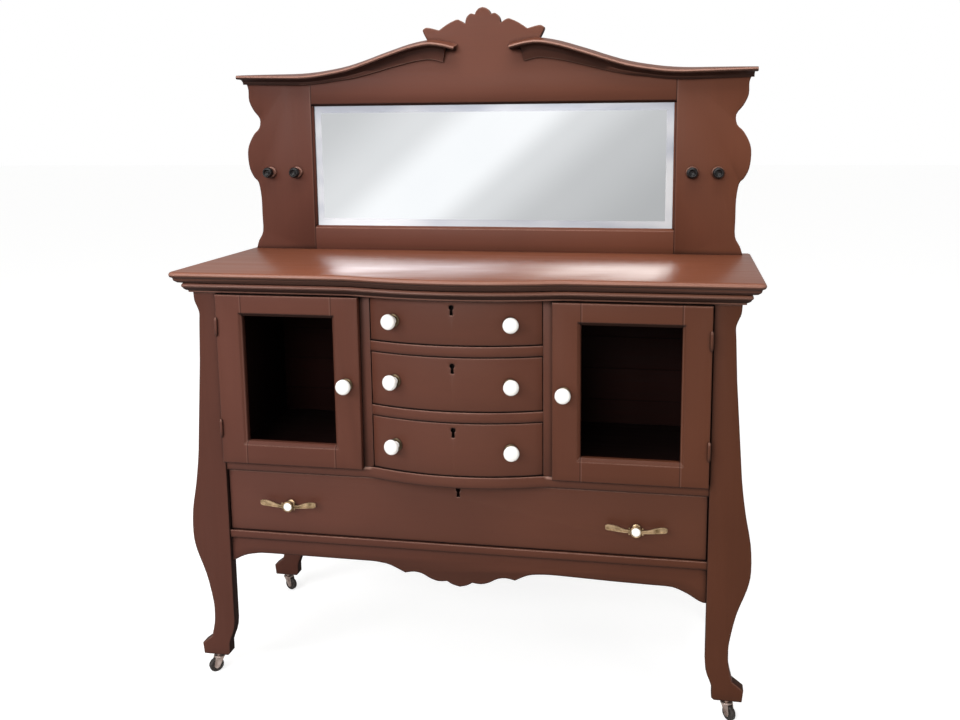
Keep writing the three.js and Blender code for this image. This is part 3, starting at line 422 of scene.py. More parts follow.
def painted(name, along, base=PAINT, worn_and_lit=PAINT_WEAR_AND_HIGHLIGHT, gloss=(0.38, 0.52), wear=0.35, specular=0.18,
            seams=(), shift=0.0, waves=0.0, shade=1.0, nose_highlight=0.0, inner_face_shade=False, right_side_tone=PAINT_RIGHT_SHADE,
            lipped=False):
    """Brushed paint, worn with painted highlights along its edges, with painted shade in its corners, gaps
    and undersides, and a stain inside the case that also stands in for shade.
    """
    s = Surface(name)
    marks = height = door_brushing(s) if along == "door" else brushing(s, along)
    colour = edge_wear_and_painted_light(s, paint_tone(s, marks, base, right_side_tone, shade), worn_and_lit, wear, nose_highlight)
    specks = s.span(s.noise(420.0, 1.0), 0.73, 0.78, 0.0, SPECK_SHARE)
    colour = s.mix(specks, colour, PAINT_DARK)
    if seams:
        dark, painted_light = seam_lines(s, seams, shift)
        colour = s.mix(s.math("MULTIPLY", dark, SEAM_DARK_SHARE), colour, PAINT_DARK)
        colour = s.mix(s.math("MULTIPLY", painted_light, SEAM_HIGHLIGHT_SHARE), colour, worn_and_lit)
        height = s.math("SUBTRACT", marks, dark)
    colour, lit_and_clean = corner_shade_and_grime(s, colour, nose_highlight or lipped)
    # A plank's faces that look into the case get painted shade
    if inner_face_shade:
        lit_and_clean = s.math("SUBTRACT", lit_and_clean, s.inner_faces())
        colour = s.mix(s.math("MULTIPLY", s.inner_faces(), INNER_FACE_SHADE_SHARE), colour, PAINT_SHADE_BLACK)
    colour, inside = stained_and_shaded_inside(s, colour)
    s.link(colour, s.shader.inputs["Base Color"])
    rough = s.span(marks, 0.35, 0.65, *gloss)
    rough = s.math("ADD", rough, s.math("MULTIPLY", inside, STAIN_ROUGHER))
    rough = s.math("ADD", rough, s.math("MULTIPLY", s.math("SUBTRACT", 1.0, lit_and_clean), GRIME_ROUGHER))
    s.link(rough, s.shader.inputs["Roughness"])
    if waves:
        sweep = s.noise((0.35, 30.0, 30.0), 1.0, 0.5)
        height = s.math("MULTIPLY_ADD", sweep, waves, height)
    s.bump(height, BRUSH_RELIEF, 0.55)
    s.shader.inputs["Specular IOR Level"].default_value = specular
    return s.material


def back_board_stain_and_shade():
    """Horizontal boards with an open joint line between them, stained darker to the inside, a darkness that
    also stands in for the shade inside the case.
    """
    s = Surface("stained_and_shaded_boards")
    _, y, z = s.axes()
    board = s.math("DIVIDE", s.math("SUBTRACT", z, BOARDS_FROM), BOARD_HEIGHT)
    off = s.math("ABSOLUTE", s.math("SUBTRACT", s.math("FRACT", board), 0.5))
    joint = s.span(off, 0.485, 0.498)
    tint = s.add("ShaderNodeTexWhiteNoise", noise_dimensions="1D")
    s.link(s.math("FLOOR", board), tint.inputs["W"])
    grain = s.noise((7.0, 90.0, 90.0), 4.0, 0.6, 0.4)
    tone = s.math("MULTIPLY_ADD", grain, 0.8, s.span(tint.outputs["Value"], 0.0, 1.0, 0.45, 0.8))
    stain_and_shade = s.mix(s.math("GREATER_THAN", y, OUTER_FACES), STAIN_AND_SHADE, OUTER_STAIN)
    colour = s.mix(1.0, stain_and_shade, s.grey(tone), "MULTIPLY")
    colour = s.mix(joint, colour, JOINT_DARK)
    s.link(colour, s.shader.inputs["Base Color"])
    s.link(s.span(grain, 0.3, 0.7, 0.58, 0.8), s.shader.inputs["Roughness"])
    s.bump(s.math("SUBTRACT", grain, s.math("MULTIPLY", joint, 2.0)), BOARD_RELIEF, 0.7)
    s.shader.inputs["Specular IOR Level"].default_value = 0.12
    return s.material


def bare_wood():
    """Unpainted drawer wood, with fine grain over broad rings and grimy edges."""
    s = Surface("bare_wood")
    grain = s.noise((6.0, 6.0, 110.0), 4.0, 0.62, 0.6)
    rings = s.noise((2.2, 2.2, 26.0), 3.0, 0.5, 1.2)
    share = s.math("MULTIPLY_ADD", grain, 0.55, s.math("MULTIPLY", rings, 0.55))
    colour = s.mix(s.span(share, 0.34, 0.78), BARE_WOOD, BARE_WOOD_DARK)
    grime = s.math("MULTIPLY", s.edges(WOOD_GRIME_REACH), 0.4)
    s.link(s.mix(grime, colour, WOOD_GRIME), s.shader.inputs["Base Color"])
    s.link(s.span(share, 0.3, 0.8, 0.55, 0.75), s.shader.inputs["Roughness"])
    s.bump(grain, GRAIN_RELIEF, 0.5)
    return s.material


def glazed(name, colour, roughness, speck, coat):
    """A glaze or lacquer: nearly even, with a faint cloud in the colour and in the gloss."""
    s = Surface(name)
    cloud = s.noise(130.0, 3.0)
    tint = tuple(channel * speck for channel in colour)
    s.link(s.mix(s.span(cloud, 0.45, 0.75, 0.0, 0.5), colour, tint), s.shader.inputs["Base Color"])
    s.link(s.span(cloud, 0.3, 0.7, roughness, roughness + 0.08), s.shader.inputs["Roughness"])
    s.bump(s.noise(90.0, 1.0), GLAZE_RELIEF, 0.25)
    s.shader.inputs["Coat Weight"].default_value = coat
    s.shader.inputs["Coat Roughness"].default_value = 0.06
    s.shader.inputs["Specular IOR Level"].default_value = 0.3
    return s.material


def metal(name, bright, dark, roughness, reach, field=0.75):
    """Aged metal: dark in patches, rubbed bright along its edges, a brightness that is also a painted
    highlight.
    """
    s = Surface(name)
    patches = s.span(s.noise(75.0, 3.0, 0.5), 0.30, 0.70)
    edge_wear_and_painted_light = s.edges(reach, 0.3)
    share = s.math("MAXIMUM", s.math("MULTIPLY", patches, field), edge_wear_and_painted_light)
    s.link(s.mix(share, dark, bright), s.shader.inputs["Base Color"])
    s.link(s.span(patches, 0.0, 1.0, roughness + 0.16, roughness), s.shader.inputs["Roughness"])
    s.shader.inputs["Metallic"].default_value = 0.92
    s.bump(s.noise(420.0, 2.0), METAL_RELIEF, 0.3)
    return s.material


def mirror_glass():
    """Silvered glass, a little hazy where the silvering has aged."""
    s = Surface("silvered_glass")
    haze = s.noise(5.0, 3.0)
    s.link(s.mix(s.span(haze, 0.4, 0.8, 0.0, 0.25), SILVERING, SILVERING_HAZE), s.shader.inputs["Base Color"])
    s.link(s.span(haze, 0.3, 0.8, 0.015, 0.045), s.shader.inputs["Roughness"])
    s.shader.inputs["Metallic"].default_value = 1.0
    s.shader.inputs["Coat Weight"].default_value = 0.5
    s.shader.inputs["Coat Roughness"].default_value = 0.01
    return s.material


def bevelled_edge():
    """The ground border of the mirror: partly matte and nearly white, a painted reflection that gathers light
    from all round, clouded with a darker tone.
    """
    s = Surface("bevelled_edge")
    cloud = s.noise((3.2, 3.2, 9.0), 2.0)
    s.link(s.mix(s.span(cloud, 0.34, 0.62), BEVEL_SHEEN, BEVEL_SHADED), s.shader.inputs["Base Color"])
    s.link(s.span(cloud, 0.3, 0.8, 0.02, 0.04), s.shader.inputs["Roughness"])
    s.shader.inputs["Metallic"].default_value = 0.62
    return s.material


def wheel_rubber():
    """A dark wheel, worn pale along its tread's edges."""
    s = Surface("worn_wheel")
    wear = s.span(s.noise(240.0, 3.0), 0.38, 0.62)
    tread = s.math("MULTIPLY", s.edges(TREAD_REACH, 0.25), 0.75)
    share = s.math("MAXIMUM", tread, s.math("MULTIPLY", wear, 0.25))
    s.link(s.mix(share, WHEEL, TREAD), s.shader.inputs["Base Color"])
    s.link(s.span(wear, 0.0, 1.0, 0.5, 0.7), s.shader.inputs["Roughness"])
    s.bump(s.noise(500.0, 2.0), METAL_RELIEF, 0.4)
    s.shader.inputs["Specular IOR Level"].default_value = 0.2
    return s.material


def frame_paint(name, along, **settings):
    """The mirror frame's paint, which turns lighter and warmer to the right, painted light, with its joint
    lines.
    """
    return painted(name, along, seams=FRAME_SEAMS, shift=FRAME_SHIFT, right_side_tone=FRAME_RIGHT_LIGHT, **settings)


# The shade settings make lighter and darker copies of one paint, painted light and shade: darker legs, apron
# and doors, lighter mouldings, top moulding and mirror frame
looks = {
    "along_x": painted("paint_along_x", "x"),
    "along_z": painted("paint_along_z", "z"),
    "leg": painted("paint_leg", "z", specular=0.12, shade=0.79, inner_face_shade=True),
    "apron": painted("paint_apron", "x", specular=0.14, shade=0.86),
    "door": painted("paint_door", "door", specular=0.14, shade=0.97, seams=STILE_EDGES),
    "frame_x": frame_paint("paint_frame_x", "x", specular=0.12, shade=1.06),
    "frame_z": frame_paint("paint_frame_z", "z", specular=0.10, shade=1.02),
    "lip": frame_paint("paint_lip", "x", specular=0.12, shade=1.06, lipped=True),
    "moulded": painted("paint_moulded", "x", gloss=(0.30, 0.40), specular=0.2, shade=1.35, nose_highlight=0.55),
    "moulded_edge": painted("paint_moulded_edge", "x", gloss=(0.30, 0.42), shade=1.22, nose_highlight=0.22),
    "top": painted("paint_top", "x", TOP_PAINT, TOP_WEAR_AND_HIGHLIGHT, (0.32, 0.42), 0.4, 0.28, waves=5.0, nose_highlight=0.25),
    "boards": back_board_stain_and_shade(),
    "bare_wood": bare_wood(),
    "porcelain": glazed("white_porcelain", PORCELAIN, 0.12, 0.94, 0.3),
    "black": glazed("black_lacquer", BLACK, 0.26, 1.6, 0.0),
    "brass": metal("aged_brass", BRASS, BRASS_DARK, 0.3, BRASS_REACH, 0.6),
    "mirror": mirror_glass(),
    "bevelled": bevelled_edge(),
    "collar": metal("dark_collar", COLLAR, COLLAR_DARK, 0.3, COLLAR_REACH),
    "plated": metal("plated_steel", PLATED, PLATED_DARK, 0.34, PLATED_REACH),
    "wheel": wheel_rubber(),
}


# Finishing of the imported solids: how close points are welded, up to which angle faces are one, from
# which angle an edge is sharp, and from which it is rounded
WELD_REACH = 0.00002
FLAT_ANGLE = math.radians(0.6)
CREASE_ANGLE = math.radians(33)
ROUND_ANGLE = math.radians(38)
ROUND_SEGMENTS = 2


def softening_group():
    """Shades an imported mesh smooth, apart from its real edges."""
    group = bpy.data.node_groups.new("weld_and_shade", "GeometryNodeTree")
    group.interface.new_socket("Geometry", in_out="INPUT", socket_type="NodeSocketGeometry")
    group.interface.new_socket("Geometry", in_out="OUTPUT", socket_type="NodeSocketGeometry")
    group.is_modifier = True
    source = group.nodes.new("NodeGroupInput")
    target = group.nodes.new("NodeGroupOutput")
    faces = group.nodes.new("GeometryNodeSetShadeSmooth")
    angle = group.nodes.new("GeometryNodeInputMeshEdgeAngle")
    sharp = group.nodes.new("FunctionNodeCompare")
    sharp.data_type = "FLOAT"
    sharp.operation = "GREATER_THAN"
    sharp.inputs[1].default_value = CREASE_ANGLE
    creases = group.nodes.new("GeometryNodeSetShadeSmooth")
    creases.domain = "EDGE"
    creases.inputs["Shade Smooth"].default_value = False
    links = group.links
    links.new(source.outputs[0], faces.inputs["Geometry"])
    links.new(angle.outputs["Unsigned Angle"], sharp.inputs[0])
    links.new(faces.outputs[0], creases.inputs["Geometry"])
    links.new(sharp.outputs[0], creases.inputs["Selection"])
    links.new(creases.outputs[0], target.inputs[0])
    return group


shade_group = softening_group()


def drop_packed_normals(mesh):
    if "custom_normal" in mesh.attributes:
        mesh.attributes.remove(mesh.attributes["custom_normal"])


def round_edges(piece, width):
    bevel = piece.modifiers.new("rounding", "BEVEL")
    bevel.width = width
    bevel.segments = ROUND_SEGMENTS
    bevel.limit_method = "ANGLE"
    bevel.angle_limit = ROUND_ANGLE
    bevel.harden_normals = False


def soften(piece, rounding):
    """Rounds a piece's edges and shades it, without touching its own mesh."""
    drop_packed_normals(piece.data)
    weld = piece.modifiers.new("weld", "WELD")
    weld.merge_threshold = WELD_REACH
    flat = piece.modifiers.new("flat", "DECIMATE")
    flat.decimate_type = "DISSOLVE"
    flat.angle_limit = FLAT_ANGLE
    if rounding:
        round_edges(piece, rounding)
    shade = piece.modifiers.new("shade", "NODES")
    shade.node_group = shade_group


def node_look(name):
    """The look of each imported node, by its name."""
    rules = (
        (("top_board",), "top"),
        (("back_boards", "mirror_backing"), "boards"),
        (("_box",), "bare_wood"),
        (("mirror_glass",), "mirror"),
        (("peg_",), "black"),
        (("knob",), "porcelain"),
        (("pull_",), "brass"),
        (("caster_fork",), "plated"),
        (("caster_wheel",), "wheel"),
        (("door_",), "door"),
        (("upright_",), "frame_z"),
        (("crest_board",), "frame_x"),
        (("mirror_rail",), "lip"),
        (("swan_neck",), "moulded"),
        (("top_moulding",), "moulded_edge"),
        (("leg_",), "leg"),
        (("apron", "bottom_frame"), "apron"),
        (("partition_", "hinge_", "side_panel"), "along_z"),
    )
    for marks, look in rules:
        if any(mark in name for mark in marks):
            return looks[look]
    return looks["along_x"]


def dress(piece, material):
    piece.data.materials.clear()
    piece.data.materials.append(material)


for name, node in nodes.items():
    dress(node, node_look(name))
    plain = any(mark in name for mark in ("mirror_glass", "caster", "peg", "knob"))
    soften(node, 0.0 if plain else EDGE_ROUND)


# New pieces
def new_piece(name, mesh, material, body, replaced=()):
    mesh.validate()
    piece = bpy.data.objects.new(name, mesh)
    bpy.context.scene.collection.objects.link(piece)
    dress(piece, material)
    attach(piece, body)
    if replaced:
        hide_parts(*replaced)
    return piece


def shaded(mesh, angle=CREASE_ANGLE):
    mesh.shade_smooth()
    mesh.set_sharp_from_angle(angle=angle)
    return mesh


def smooth_profile(points, steps):
    """A Catmull-Rom line through (radius, height) points; a None between points keeps a corner."""
    runs, run = [], []
    for point in points:
        if point is None:
            runs.append(run)
            run = [run[-1]]
        else:
            run.append(point)
    runs.append(run)
    line = []
    for run in runs:
        padded = [run[0], *run, run[-1]]
        for i in range(1, len(padded) - 2):
            p0, p1, p2, p3 = (Vector(p) for p in padded[i - 1:i + 3])
            for step in range(steps):
                t = step / steps
                bend = 2 * p0 - 5 * p1 + 4 * p2 - p3
                twist = 3 * p1 - p0 - 3 * p2 + p3
                line.append((2 * p1 + (p2 - p0) * t + bend * t * t + twist * t ** 3) / 2)
        line.append(Vector(run[-1]))
    return line


# Radius under which a point is on the axis, and distance under which two points are one
ON_AXIS = 1e-6
SAME_POINT = 1e-7


def turned_mesh(name, profile, turns, steps=5):
    """A closed body turned about Z from a (radius, height) profile that starts and ends on the axis."""
    line = smooth_profile(profile, steps)
    rings, made = [], bmesh.new()
    for point in line:
        if point.x < ON_AXIS:
            rings.append([made.verts.new((0, 0, point.y))])
        else:
            rings.append([made.verts.new((point.x * math.cos(2 * math.pi * i / turns),
                                          point.x * math.sin(2 * math.pi * i / turns), point.y))
                          for i in range(turns)])
    for lower, upper in zip(rings, rings[1:]):
        for i in range(turns):
            j = (i + 1) % turns
            corners = [lower[i % len(lower)], lower[j % len(lower)], upper[j % len(upper)],
                       upper[i % len(upper)]]
            corners = list(dict.fromkeys(corners))
            if len(corners) > 2:
                made.faces.new(corners)
    bmesh.ops.remove_doubles(made, verts=made.verts, dist=SAME_POINT)
    bmesh.ops.recalc_face_normals(made, faces=made.faces)
    mesh = bpy.data.meshes.new(name)
    made.to_mesh(mesh)
    made.free()
    return shaded(mesh)


def placed(mesh, matrix):
    moved = mesh.copy()
    moved.transform(matrix)
    return moved


def forward_at(place, turn=0.0):
    """Turns a mesh made along +Z to point to the front, at a place."""
    return Matrix.Translation(place) @ Matrix.Rotation(turn, 4, "Z") @ Matrix.Rotation(math.pi / 2, 4, "X")


# Knobs: porcelain on a thin metal collar, square to the drawers' bow. The profiles are shares of the
# knob's radius and of its reach.
KNOB_RADIUS = 0.016
KNOB_REACH = 0.030
KNOB_SIDES = 40
COLLAR_SIDES = 32
BOW_HALF = 0.180
BOW_RISE = 0.034
BOW_RADIUS = (BOW_HALF ** 2 + BOW_RISE ** 2) / (2 * BOW_RISE)
KNOB_SHARES = ((0, 0), None, (0.50, 0), None, (0.50, 0.07), (0.44, 0.15), (0.385, 0.24), (0.41, 0.33),
               (0.58, 0.42), (0.82, 0.50), (0.97, 0.61), (1.0, 0.70), (0.96, 0.81), (0.82, 0.91),
               (0.58, 0.97), (0.30, 0.995), (0, 1))
COLLAR_SHARES = ((0, 0), None, (0.84, 0), None, (0.84, 0.03), (0.79, 0.060), (0.60, 0.085), None,
                 (0.0, 0.085))
KNOB_BODIES = {f"{drawer}_knob_{hand}": drawer for drawer in ("drawer_1", "drawer_2", "drawer_3")
               for hand in ("left", "right")}
KNOB_BODIES |= {"door_knob_left": "left_door", "door_knob_right": "right_door"}


def knob_profile(shares):
    return [point and (point[0] * KNOB_RADIUS, point[1] * KNOB_REACH) for point in shares]


def knob_place(node):
    """Where a knob's foot stands on its front, turned square to it."""
    points = [v.co for v in nodes[node].data.vertices]
    low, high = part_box(node)
    middle = (low + high) / 2
    turn = 0.0
    if node.startswith("drawer"):
        turn = math.asin(middle.x / (BOW_RADIUS + KNOB_REACH / 2))
    direction = Vector((math.sin(turn), -math.cos(turn), 0))
    reach = [point.dot(direction) for point in points]
    crown = max(points, key=lambda point: point.dot(direction))
    foot = Vector(crown) - direction * (max(reach) - min(reach))
    foot.z = middle.z
    return forward_at(foot, turn)


def place_knobs():
    knob = turned_mesh("knob", knob_profile(KNOB_SHARES), KNOB_SIDES)
    collar = turned_mesh("collar", knob_profile(COLLAR_SHARES), COLLAR_SIDES)
    for node, body in KNOB_BODIES.items():
        place = knob_place(node)
        new_piece(f"porcelain_{node}", placed(knob, place), looks["porcelain"], body, [node])
        new_piece(f"collar_{node}", placed(collar, place), looks["collar"], body)


place_knobs()

# Pegs of the mirror back: a dished black knob on a painted rosette
PEG_PROFILE = ((0, 0), None, (0.006, 0), None, (0.0058, 0.006), (0.0068, 0.0100), (0.0112, 0.0128),
               (0.0131, 0.0165), (0.0128, 0.0205), (0.0113, 0.0242), (0.0092, 0.0258), (0.0076, 0.0255),
               (0.0060, 0.0232), (0.0040, 0.0222), (0.0030, 0.0226), (0.0018, 0.0220), (0, 0.0216))
PEG_SIDES = 32
ROSETTE_PROFILE = ((0, 0), None, (0.0142, 0), None, (0.0142, 0.0012), (0.0135, 0.0026), (0.0120, 0.0034),
                   (0.0100, 0.0033), None, (0.0090, 0.0030), (0.0074, 0.0028), None, (0, 0.0028))
ROSETTE_SIDES = 40


def place_pegs():
    peg = turned_mesh("peg", PEG_PROFILE, PEG_SIDES)
    rosette = turned_mesh("rosette", ROSETTE_PROFILE, ROSETTE_SIDES)
    for node in ("peg_left_outer", "peg_left_inner", "peg_right_inner", "peg_right_outer"):
        low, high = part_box(node)
        place = forward_at(Vector(((low.x + high.x) / 2, high.y, (low.z + high.z) / 2)))
        new_piece(f"turned_{node}", placed(peg, place), looks["black"], "case", [node])
        new_piece(f"rosette_{node}", placed(rosette, place), looks["moulded"], "case")


place_pegs()

# The mirror, with a border ground at a very flat slope, and its front so far behind the rail's
GLASS_BORDER = 0.021
GLASS_SLOPE = math.radians(0.65)
GLASS_BEHIND = 0.00995


def bevelled_mirror():
    low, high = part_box("mirror_glass")
    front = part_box("mirror_rail")[0].y + GLASS_BEHIND
    made = bmesh.new()

    def ring(inset, y):
        corners = ((low.x + inset, low.z + inset), (high.x - inset, low.z + inset),
                   (high.x - inset, high.z - inset), (low.x + inset, high.z - inset))
        return [made.verts.new((x, y, z)) for x, z in corners]

    back = ring(0, high.y)
    edge = ring(0, front + GLASS_BORDER * math.tan(GLASS_SLOPE))
    field = ring(GLASS_BORDER, front)
    made.faces.new(field)
    made.faces.new(back)
    for outer, inner in ((back, edge), (edge, field)):
        for i in range(4):
            j = (i + 1) % 4
            made.faces.new((outer[i], outer[j], inner[j], inner[i]))
    border = range(len(made.faces) - 4, len(made.faces))
    bmesh.ops.recalc_face_normals(made, faces=made.faces)
    mesh = bpy.data.meshes.new("bevelled_mirror")
    made.to_mesh(mesh)
    made.free()
    piece = new_piece("bevelled_mirror", mesh, looks["mirror"], "case", ["mirror_glass"])
    piece.data.materials.append(looks["bevelled"])
    for face in border:
        piece.data.polygons[face].material_index = 1


bevelled_mirror()


# Keyholes, cut into the drawer fronts: a round hole, open below by an arc, over a slot
KEYHOLE_HEIGHTS = {"drawer_1": 0.8545, "drawer_2": 0.735, "drawer_3": 0.6015, "long_drawer": 0.461}
KEYHOLE_RADIUS = 0.0052
KEYHOLE_FROM = math.radians(-60)
KEYHOLE_ARC = math.radians(300)
KEYHOLE_STEPS = 18
KEYHOLE_SLOT = 0.0027
KEYHOLE_FLARE = 1.25
KEYHOLE_FALL = 0.0155
KEYHOLE_DEPTH = 0.014
KEYHOLE_OVERRUN = 0.02


def keyhole_cutter(z, front):
    """A body for a hole over a slot, cut into a front that stands at the given depth."""
    outline = []
    for i in range(KEYHOLE_STEPS + 1):
        angle = KEYHOLE_FROM + KEYHOLE_ARC * i / KEYHOLE_STEPS
        outline.append((KEYHOLE_RADIUS * math.cos(angle), KEYHOLE_RADIUS * math.sin(angle)))
    foot = KEYHOLE_SLOT * KEYHOLE_FLARE
    outline += [(-foot, -KEYHOLE_FALL), (foot, -KEYHOLE_FALL)]
    made = bmesh.new()
    ahead = [made.verts.new((x, front - KEYHOLE_OVERRUN, z + up)) for x, up in outline]
    behind = [made.verts.new((x, front + KEYHOLE_DEPTH, z + up)) for x, up in outline]
    made.faces.new(ahead)
    made.faces.new(reversed(behind))
    for i in range(len(outline)):
        j = (i + 1) % len(outline)
        made.faces.new((ahead[i], behind[i], behind[j], ahead[j]))
    bmesh.ops.recalc_face_normals(made, faces=made.faces)
    mesh = bpy.data.meshes.new("keyhole")
    made.to_mesh(mesh)
    made.free()
    return bpy.data.objects.new("keyhole", mesh)


def with_keyhole(node, body, z):
    """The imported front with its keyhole, as a piece that stands for it."""
    source = nodes[node].data.copy()
    drop_packed_normals(source)
    made = bmesh.new()
    made.from_mesh(source)
    bmesh.ops.remove_doubles(made, verts=made.verts, dist=WELD_REACH)
    bmesh.ops.dissolve_limit(made, angle_limit=FLAT_ANGLE, verts=made.verts, edges=made.edges)
    made.to_mesh(source)
    made.free()
    base = bpy.data.objects.new("front", source)
    low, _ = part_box(node)
    cutter = keyhole_cutter(z, low.y)
    for item in (base, cutter):
        bpy.context.scene.collection.objects.link(item)
    difference = base.modifiers.new("keyhole", "BOOLEAN")
    difference.operation = "DIFFERENCE"
    difference.object = cutter
    difference.solver = "EXACT"
    round_edges(base, EDGE_ROUND)
    graph = bpy.context.evaluated_depsgraph_get()
    mesh = bpy.data.meshes.new_from_object(base.evaluated_get(graph))
    for item in (base, cutter):
        bpy.data.objects.remove(item)
    new_piece(f"keyed_{node}", shaded(mesh), looks["along_x"], body, [node])


for drawer, height in KEYHOLE_HEIGHTS.items():
    with_keyhole(f"{drawer}_front", drawer, height)


# Pulls of the long drawer. A wing's outline is in shares of its length and of its height, and the
# outlines turned about the middle are radii and heights.
WING_UPPER_SHARES = ((0.10, 0.25), (0.28, 0.27), (0.42, 0.40), (0.62, 0.78), (0.80, 0.98), (0.94, 0.98),
                     (1.0, 0.80))
WING_LOWER_SHARES = ((1.0, 0.30), (0.95, 0.05), (0.75, -0.08), (0.50, -0.20), (0.30, -0.27), (0.10, -0.25))
WING_STEPS = 4
WING_CREASE = math.radians(28)
WING_AHEAD = 0.015
PULL_HALF = 0.062
PULL_WING = 0.012
PULL_THICK = 0.003
RIM_WIDTH = 0.0018
RIM_SLOPE = 0.00072
RIM_DEPTH = 0.0014
BOSS_DEPTH = 0.004
POST_PROFILE = ((0, 0), None, (0.0092, 0), None, (0.0092, 0.0012), (0.0075, 0.0022), (0.0056, 0.004),
                (0.0052, 0.008), (0.0062, 0.0125), (0.0085, 0.0145), None, (0, 0.0145))
BEZEL_PROFILE = ((0, 0.013), None, (0.0085, 0.013), None, (0.0108, 0.0152), (0.0121, 0.0180),
                 (0.0119, 0.0202), (0.0107, 0.0215), (0.0093, 0.0212), None, (0.0090, 0.0200), None,
                 (0, 0.0200))
BUTTON_PROFILE = ((0, 0.0195), None, (0.0089, 0.0195), None, (0.0089, 0.0207), (0.0082, 0.0217),
                  (0.0062, 0.0225), (0.0034, 0.0229), (0, 0.0229))
POST_SIDES = 32
BEZEL_SIDES = 40
BALL_RADIUS = 0.0022
BALL_RINGS = 8
BALL_SIDES = 14
BALL_AHEAD = 0.0165
BALL_PLACES = ((0.0135, 0.0058), (0.0135, -0.0058))


def wing_mesh(side):
    """A dished wing: a raised rim round a sunk field, with a flat back."""
    def line(points):
        return smooth_profile([(x * PULL_HALF, z * PULL_WING) for x, z in points], WING_STEPS)
    outline = line(WING_UPPER_SHARES) + line(WING_LOWER_SHARES)
    made = bmesh.new()
    ring = [made.verts.new((side * p.x, 0, p.y)) for p in outline]
    face = made.faces.new(ring)
    back = bmesh.ops.extrude_face_region(made, geom=[face])
    moved = [item for item in back["geom"] if isinstance(item, bmesh.types.BMVert)]
    bmesh.ops.translate(made, verts=moved, vec=(0, -PULL_THICK, 0))
    front = [item for item in back["geom"] if isinstance(item, bmesh.types.BMFace)][0]
    bmesh.ops.inset_region(made, faces=[front], thickness=RIM_WIDTH, depth=0)
    bmesh.ops.inset_region(made, faces=[front], thickness=RIM_SLOPE, depth=0)
    bmesh.ops.translate(made, verts=list(front.verts), vec=(0, RIM_DEPTH, 0))
    bmesh.ops.recalc_face_normals(made, faces=made.faces)
    mesh = bpy.data.meshes.new("wing")
    made.to_mesh(mesh)
    made.free()
    return mesh


def joined_mesh(name, meshes):
    made = bmesh.new()
    for mesh in meshes:
        made.from_mesh(mesh)
    whole = bpy.data.meshes.new(name)
    made.to_mesh(whole)
    made.free()
    return whole


def ball_mesh():
    profile = []
    for i in range(BALL_RINGS + 1):
        angle = math.pi * i / BALL_RINGS
        profile.append((BALL_RADIUS * math.sin(angle), -BALL_RADIUS * math.cos(angle)))
    profile[0] = (0, -BALL_RADIUS)
    profile[-1] = (0, BALL_RADIUS)
    return turned_mesh("ball", profile, BALL_SIDES, 1)


def pull_centre(node):
    """Where the middle of a pull's post meets the drawer's front."""
    low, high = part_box(node)
    boss = [v.co.z for v in nodes[node].data.vertices if v.co.y < low.y + BOSS_DEPTH]
    return Vector(((low.x + high.x) / 2, high.y, (min(boss) + max(boss)) / 2))


def place_pulls():
    ball = ball_mesh()
    post = turned_mesh("post", POST_PROFILE, POST_SIDES)
    bezel = turned_mesh("bezel", BEZEL_PROFILE, BEZEL_SIDES)
    button = turned_mesh("button", BUTTON_PROFILE, BEZEL_SIDES)
    for hand in ("left", "right"):
        centre = pull_centre(f"pull_{hand}")
        pieces = []
        for side in (-1, 1):
            wing = shaded(wing_mesh(side), WING_CREASE)
            pieces.append(placed(wing, Matrix.Translation(centre + Vector((0, -WING_AHEAD, 0)))))
            for x, up in BALL_PLACES:
                spot = centre + Vector((side * x, -BALL_AHEAD, up))
                pieces.append(placed(ball, Matrix.Translation(spot)))
        pieces += [placed(part, forward_at(centre)) for part in (post, bezel)]
        new_piece(f"wing_pull_{hand}", joined_mesh("pull", pieces), looks["brass"], "long_drawer",
                  [f"pull_{hand}"])
        new_piece(f"porcelain_pull_{hand}", placed(button, forward_at(centre)), looks["porcelain"],
                  "long_drawer")


place_pulls()


# Stage: its floor's half width, and the front wall's place, half width and height
FLOOR_HALF = 30
WALL_PLACE = -5
WALL_HALF = 8
WALL_HEIGHT = 6
# The floor's own glow, and the share of the white surroundings that glossy surfaces show
FLOOR_GLOW = 0.66
GLOSSY_SHARE = 0.25
# Strength of the world's own light at the horizon and overhead
SKY_LEVELS = (0.30, 0.62)

# Band of painted light that the front wall glows with: its middle and the direction across it, in X and Z,
# how far it reaches to each side, its level at shares of that width, and how much bluer than white it is
BAND_MIDDLE = (-1.34, 0.94)
BAND_ACROSS = (-0.644, 0.765)
BAND_REACH = 1.5
BAND_LEVELS = ((0.06, 0.56), (0.24, 0.68), (0.36, 0.88), (0.44, 1.18), (0.53, 1.18), (0.62, 0.92),
               (0.80, 0.72), (1.0, 0.64))
BAND_BLUE = 1.01

# Lamps: name, place, what it is turned to, size, watts and colour
LAMPS = (
    ("key", (-2.5, -3.0, 2.7), (0, 0, 0.8), (1.6, 1.6), 62, (0.98, 0.98, 1.0)),
    ("overhead", (0.1, -0.7, 3.2), (0.1, 0.0, 0.9), (2.4, 1.2), 50, (1, 1, 1)),
    ("window_left", (-1.7, -4.5, 2.3), (0, 0.2, 1.0), (1.3, 1.4), 46, (0.92, 0.95, 1.0)),
    ("window_right", (0.0, -4.5, 2.3), (0, 0.2, 1.0), (1.2, 1.4), 62, (1.0, 0.96, 0.92)),
    ("fill", (2.6, -2.4, 1.6), (0, 0, 0.9), (1.0, 1.0), 9, (1.0, 0.93, 0.85)),
)


def plain_sheet(name, corners):
    mesh = bpy.data.meshes.new(name)
    mesh.from_pydata(corners, [], [tuple(range(len(corners)))])
    sheet = bpy.data.objects.new(name, mesh)
    bpy.context.scene.collection.objects.link(sheet)
    return sheet


